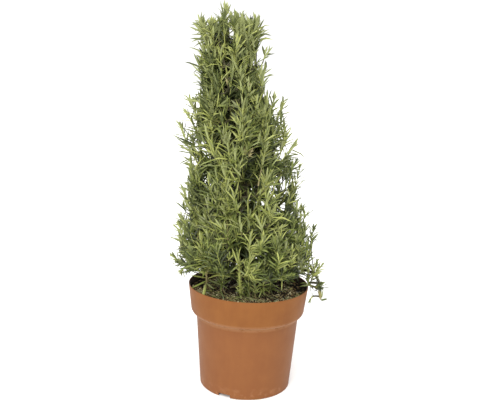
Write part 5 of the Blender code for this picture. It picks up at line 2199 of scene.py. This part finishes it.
@dataclass
class Mass:
    """A mass of foliage: its node, its stem, and the shoots that grow from that. Lengths that are
    dealt by chance are ranges in millimetres. Stems and leaves are tested for room at some shares
    of their length."""

    node: str
    stem: list[Vector]
    stem_radius: float = 2.4 * MM
    green_tip: float = 10 * MM
    stem_probes: tuple[float, ...] = (0.7, 0.9)
    leaf_probes: tuple[float, ...] = (0.3, 0.65, 1.0)
    feature_fade: float = 75 * MM
    starts_below: tuple[float, float] = (55, 95)
    nearness: float = 0.3
    elbows_out: tuple[float, float] = (0.72, 1.0)
    elbows_up: tuple[float, float] = (0.08, 0.4)
    leafy_lengths: tuple[float, float] = (75, 120)
    leafy_share: float = 0.92
    thicknesses: tuple[float, float] = (0.9, 1.25)
    leaf_lengths: tuple[float, float] = (24, 33)
    waves: tuple[float, float] = (0, 2.5)
    feature_sizes: tuple[float, float] = (0.92, 1.08)
    overhang: float = 0.62
    shoots: list[Shoot] = field(default_factory=list)
    features: list[Shoot] = field(default_factory=list)
    lone: list[LoneLeaf] = field(default_factory=list)

    def grow(self, target: Vector, chance: np.random.Generator, tint: Tint) -> None:
        """Grows a shoot from the stem out and then up to a target on the crown's skin.

        Args:
            target: Where its tip goes.
            chance: The source of small differences.
            tint: The colour that its leaves are dealt.
        """
        start = target.z - chance.uniform(*self.starts_below) * MM
        root = min(self.stem[1:], key=lambda at: abs(start - at.z) + (target - at).length * self.nearness)
        elbow = root.lerp(target, chance.uniform(*self.elbows_out))
        elbow.z = root.z + (target.z - root.z) * chance.uniform(*self.elbows_up)
        leafy = min((target - root).length * self.leafy_share, chance.uniform(*self.leafy_lengths) * MM)
        self.add_shoot(root, elbow, target, tint, leafy, chance)

    def add_shoot(
        self, root: Vector, elbow: Vector, tip: Vector, tint: Tint, leafy: float, chance: np.random.Generator
    ) -> None:
        """Adds a shoot, with small differences in thickness, leaf length and waviness.

        Args:
            root: Where it leaves the stem.
            elbow: The point that it bends towards.
            tip: Where it ends.
            tint: The colour that its leaves are dealt.
            leafy: The length that bears leaves, from the tip.
            chance: The source of small differences.
        """
        thickness = chance.uniform(*self.thicknesses) * MM
        leaf = chance.uniform(*self.leaf_lengths) * MM * along(LEAF_SIZES, tip.z)
        wave, phase = chance.uniform(*self.waves) * MM, chance.uniform(0, math.tau)
        self.shoots.append(Shoot(root, elbow, tip, thickness, tint, leafy, leaf, wave, phase))

    def grow_by_way_of(self, feature: Feature, chance: np.random.Generator) -> None:
        """Grows one of the shoots that stand out in the photograph, bare as far as its start.

        Args:
            feature: The shoot's start, tip and tint.
            chance: The source of small differences.
        """
        start = Vector(seen(feature.start, feature.start_share)) * MM
        tip = Vector(seen(feature.tip, feature.tip_share)) * MM
        leaf = feature.leaf * MM * chance.uniform(*self.feature_sizes)
        tip -= (tip - start).normalized() * min(self.overhang * leaf, (tip - start).length / 2)
        root = min(self.stem[1:], key=lambda at: (start - at).length + max(0, at.z - start.z))
        if feature.foot:
            root = Vector(seen(feature.foot)) * MM
        elbow = start * 2 - (root + tip) / 2
        leafy = (tip - start).length * 1.05
        phase = chance.uniform(0, math.tau)
        shoot = Shoot(root, elbow, tip, feature.stem * MM, feature.tint, leafy, leaf, phase=phase)
        habit = {"fade": self.feature_fade, "lush": feature.lush, "tan": feature.foot is not None}
        self.features.append(replace(shoot, **habit))

    def lone_leaves(self, chance: np.random.Generator) -> LeafBatch:
        """Sets the leaves that stand out by themselves, each bent a little on its way.

        Args:
            chance: The source of small differences.

        Returns:
            The leaves.
        """
        roots = np.array([seen(leaf.root) for leaf in self.lone]) * MM
        tips = np.array([seen(leaf.tip) for leaf in self.lone]) * MM
        chords = tips - roots
        sideways = unit(np.cross(chords, np.array([0, 0, 1.0]) + chance.normal(0, 0.3, chords.shape)))
        uppers = unit(np.cross(sideways, chords))
        bends = chance.uniform(-0.3, 0.6, len(chords))
        lengths = np.linalg.norm(chords, axis=1)
        runs = chords + uppers * (bends * lengths / 2)[:, None]
        widths = np.array([leaf.width for leaf in self.lone]) * MM
        tints = np.array([leaf.tint for leaf in self.lone], dtype=object)
        return LeafBatch(roots, unit(runs), uppers, np.linalg.norm(runs, axis=1), widths, bends, tints)

    def build(self, pot: NurseryPot, compost: Compost) -> None:
        """Makes the mass as two pieces, its stems and its leaves.

        Args:
            pot: The pot that they keep clear of.
            compost: The compost that they keep clear of.
        """
        chance = seeded(self.node)
        regular = self.shoots + [sprig for shoot in self.shoots for sprig in shoot.sprigs(chance)]
        ends = np.array([shoot.tip for shoot in regular]).reshape(-1, 3)
        rooted = above_hem(ends) & inside_outline(ends, STEM_INSET)
        for share in self.stem_probes:
            probed = [shoot.places(np.array([share]))[0][0] for shoot in regular]
            rooted &= clear_of_gaps(np.array(probed).reshape(-1, 3))
        regular = [shoot for shoot, kept in zip(regular, rooted) if kept]
        leaves = []
        for shoots, hemmed in ((regular, True), (self.features, False)):
            if shoots:
                batch = LeafBatch.gather([shoot.leaves(chance) for shoot in shoots])
                kept = within_reach(batch.points(1.0))
                for share in self.leaf_probes:
                    points = batch.points(share)
                    kept &= OPEN_GAPS.left_free(points)
                    if hemmed:
                        kept &= above_hem(points) & inside_outline(points) & clear_of_gaps(points)
                    else:
                        kept &= clear_of_pot(points, pot, compost)
                leaves.append(batch.only(kept))
        if self.lone:
            leaves.append(self.lone_leaves(chance))
        root, middle, tip = self.stem[0], self.stem[len(self.stem) // 2], self.stem[-1]
        main = [Shoot(root, middle, tip, self.stem_radius, Tint.DEEP, self.green_tip, leaf_length=0)]
        short = self.node.replace("_foliage", "")
        settle(stem_mesh(f"twigs_{short}", main + regular + self.features), "bark", self.node)
        settle(LeafBatch.gather(leaves).build(f"leaves_{short}"), "foliage", self.node)


@dataclass
class Foliage:
    """All the masses, grown from the boughs' tips and the main stem by the source's rule."""

    wood: Wood
    pot: NurseryPot
    compost: Compost
    stem_stations: int = 13
    stem_elbow: float = 0.4
    stem_reach: float = 0.62
    stem_band: float = 0.86
    top_stem_band: float = 0.72
    upper_rise: float = 12 * MM
    turn_spread: float = 0.97
    first_turn: float = 0.31
    thinning: float = 0.22
    straying: float = 0.1
    shaded_below: float = 226 * MM
    right_shade: float = 0.4
    droop_end: Vector = field(default_factory=lambda: Vector((0.1155, -0.012, 0.151)))
    top_shoots: int = 38
    top_bands: tuple[float, float] = (0.02, 0.58)
    masses: list[Mass] = field(default_factory=list)

    def targets(
        self, cell: Cell, count: int, bands: tuple[float, float], name: str
    ) -> list[tuple[Vector, Tint]]:
        """Spreads targets evenly over a cell's skin, thinner towards the right, where sky shows through.
        Their tints are dealt a step darker low down and, by chance, towards the right: painted shade.

        Args:
            cell: The cell.
            count: How many.
            bands: The lowest and highest share of the cell's height that they take.
            name: The mass's name, which seeds them.

        Returns:
            The targets and a tint for each.
        """
        chance = seeded(name + "_targets")
        spread = self.turn_spread if cell.half_angle < math.pi else 1
        found = []
        for i in range(count):
            turn = 2 * ((i * GOLDEN_FRACTION + self.first_turn) % 1) - 1
            layer = LAYERS[i % len(LAYERS)]
            rightward = max(0, math.cos(cell.azimuth + cell.half_angle * turn * spread)) ** 2
            reach = chance.uniform(*layer.reach) * (1 + self.straying * rightward * chance.uniform(-1, 1))
            band = bands[0] + (bands[1] - bands[0]) * (i + 0.5) / count
            tint = list(Tint)[chance.choice(len(Tint), p=layer.weights)]
            if chance.random() < self.thinning * rightward:
                continue
            point = cell.point(turn * spread, reach, band, leafy=True)
            # Low down, and by chance towards the right, the tint is painted a step darker for the shade
            # there
            if point.z < self.shaded_below or chance.random() < self.right_shade * rightward:
                tint = PAINTED_SHADE.get(tint, tint)
            found.append((point, tint))
        return found

    def add_mass(
        self, node: str, start: Vector, heading: Vector, end: Vector, targets: list[tuple[Vector, Tint]]
    ) -> None:
        """Adds a mass with its stem and its shoots.

        Args:
            node: The CAD node that it stands for.
            start: Where the stem starts.
            heading: Which way it sets out.
            end: Where it ends.
            targets: Where its main shoots go, with their tints.
        """
        elbow = start + heading * (end - start).length * self.stem_elbow
        mass = Mass(node, curve_points(start, elbow, end, self.stem_stations))
        chance = seeded(node + "_shoots")
        for target, tint in targets:
            mass.grow(target, chance, tint)
        self.masses.append(mass)

    def add_tier(self, tier: Tier) -> None:
        """Adds the masses of one tier, with the boughs that carry them.

        Args:
            tier: The tier.
        """
        for i in range(tier.slices):
            half = math.pi / tier.slices
            cell = Cell(tier.first_azimuth + 2 * half * i, half, tier.low, tier.high)
            if tier.bough_rise:
                tip = cell.point(0, self.wood.bough_reach, tier.bough_band)
                bough = self.wood.rising_bough(tip.z - tier.bough_rise, cell.azimuth, tip)
                start, heading = bough.tip()
            else:
                start, heading = self.wood.off_trunk(tier.low + self.upper_rise, cell.azimuth)
            end = cell.point(0, self.stem_reach, self.stem_band)
            node = f"{tier.name}_foliage_{i + 1}"
            self.add_mass(node, start, heading, end, self.targets(cell, tier.shoots, tier.bands, node))

    def add_top(self) -> None:
        """Adds the blunt top on the main stem's tip."""
        cell = Cell(0, math.pi, 0.462, CROWN.height, 0)
        start, heading = self.wood.limbs[0].tip()
        end = cell.point(0, 0, self.top_stem_band)
        targets = self.targets(cell, self.top_shoots, self.top_bands, "top_foliage")
        self.add_mass("top_foliage", start, heading, end, targets)

    def nearest(self, place: tuple[int, ...]) -> Mass:
        """The mass whose stem is nearest to a place in millimetres."""
        point = Vector(place) * MM
        return min(self.masses, key=lambda mass: min((at - point).length for at in mass.stem))

    def add_features(self) -> None:
        """Adds the shoots and the leaves that stand out in the photograph."""
        for i, feature in enumerate(FEATURES):
            mass = self.nearest(seen(feature.start, feature.start_share))
            mass.grow_by_way_of(feature, seeded(f"feature_{i}"))
        for leaf in LONE_LEAVES:
            self.nearest(seen(leaf.root)).lone.append(leaf)

    def add_drooping(self) -> None:
        """Adds the shoot that hangs from the low bough's tip, outside the pot."""
        start, heading = self.wood.drooping_bough().tip()
        elbow = start + heading * (self.droop_end - start).length * 0.6
        stem = curve_points(start, elbow, self.droop_end, self.stem_stations)
        self.masses.append(Mass("drooping_shoot", stem, 1.8 * MM))

    def build(self) -> None:
        """Grows and makes every mass."""
        for tier in TIERS:
            self.add_tier(tier)
        self.add_top()
        self.add_drooping()
        self.add_features()
        for mass in self.masses:
            mass.build(self.pot, self.compost)


# Studio


@dataclass
class Studio:
    """A pale floor, a white surround, soft lamps and the camera of the photograph."""

    sensor: float = 36.0
    floor_radius: float = 9.0
    surround: float = 1.15
    lamp_from: tuple[float, float, float] = (-0.22, -1, 0.8)
    lamp_width: float = 50
    lamp_strength: float = 2.95

    def add_camera(self) -> None:
        """Sets up the camera of the view."""
        right, up, forward = (Vector(axis) for axis in VIEW.axes())
        turn = Matrix((right, up, -forward)).transposed()
        data = bpy.data.cameras.new("camera")
        data.sensor_width = self.sensor
        data.lens = VIEW.focal_pixels / VIEW.width * self.sensor
        camera = bpy.data.objects.new("camera", data)
        camera.matrix_world = Matrix.Translation(VIEW.place) @ turn.to_4x4()
        bpy.context.scene.collection.objects.link(camera)
        bpy.context.scene.camera = camera

    def add_lamp(self) -> None:
        """Adds one broad soft lamp, so far off that it lights plant and floor evenly."""
        data = bpy.data.lights.new("soft_lamp", "SUN")
        data.angle = math.radians(self.lamp_width)
        data.energy = self.lamp_strength
        lamp = bpy.data.objects.new("soft_lamp", data)
        lamp.matrix_world = (-Vector(self.lamp_from)).to_track_quat("-Z", "Y").to_matrix().to_4x4()
        bpy.context.scene.collection.objects.link(lamp)

    def build(self) -> None:
        """Makes the floor, the surround, the lamps and the camera."""
        bm = bmesh.new()
        bmesh.ops.create_circle(bm, cap_ends=True, segments=96, radius=self.floor_radius)
        bmesh.ops.translate(bm, vec=(0, 0, -GAP), verts=bm.verts)
        floor = new_object("floor", mesh_of(bm), [Plain("white_floor", "F7F7F6", 0.9, 0.1).material()])
        world = bpy.data.worlds.new("white_surround")
        world.use_nodes = True
        world.node_tree.nodes["Background"].inputs["Color"].default_value = (1, 1, 1, 1)
        world.node_tree.nodes["Background"].inputs["Strength"].default_value = self.surround
        bpy.context.scene.world = world
        self.add_lamp()
        bpy.context.scene.view_settings.view_transform = "Standard"
        self.add_camera()


def main() -> None:
    """Builds the plant and its studio, in order."""
    logging.basicConfig(level=logging.INFO, format="%(message)s")
    pot = NurseryPot()
    compost = Compost(pot)
    wood = Wood()
    pot.build()
    compost.build()
    wood.add_trunk()
    foliage = Foliage(wood, pot, compost)
    foliage.build()
    wood.build()
    Studio().build()
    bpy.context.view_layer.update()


if __name__ == "__main__":
    main()
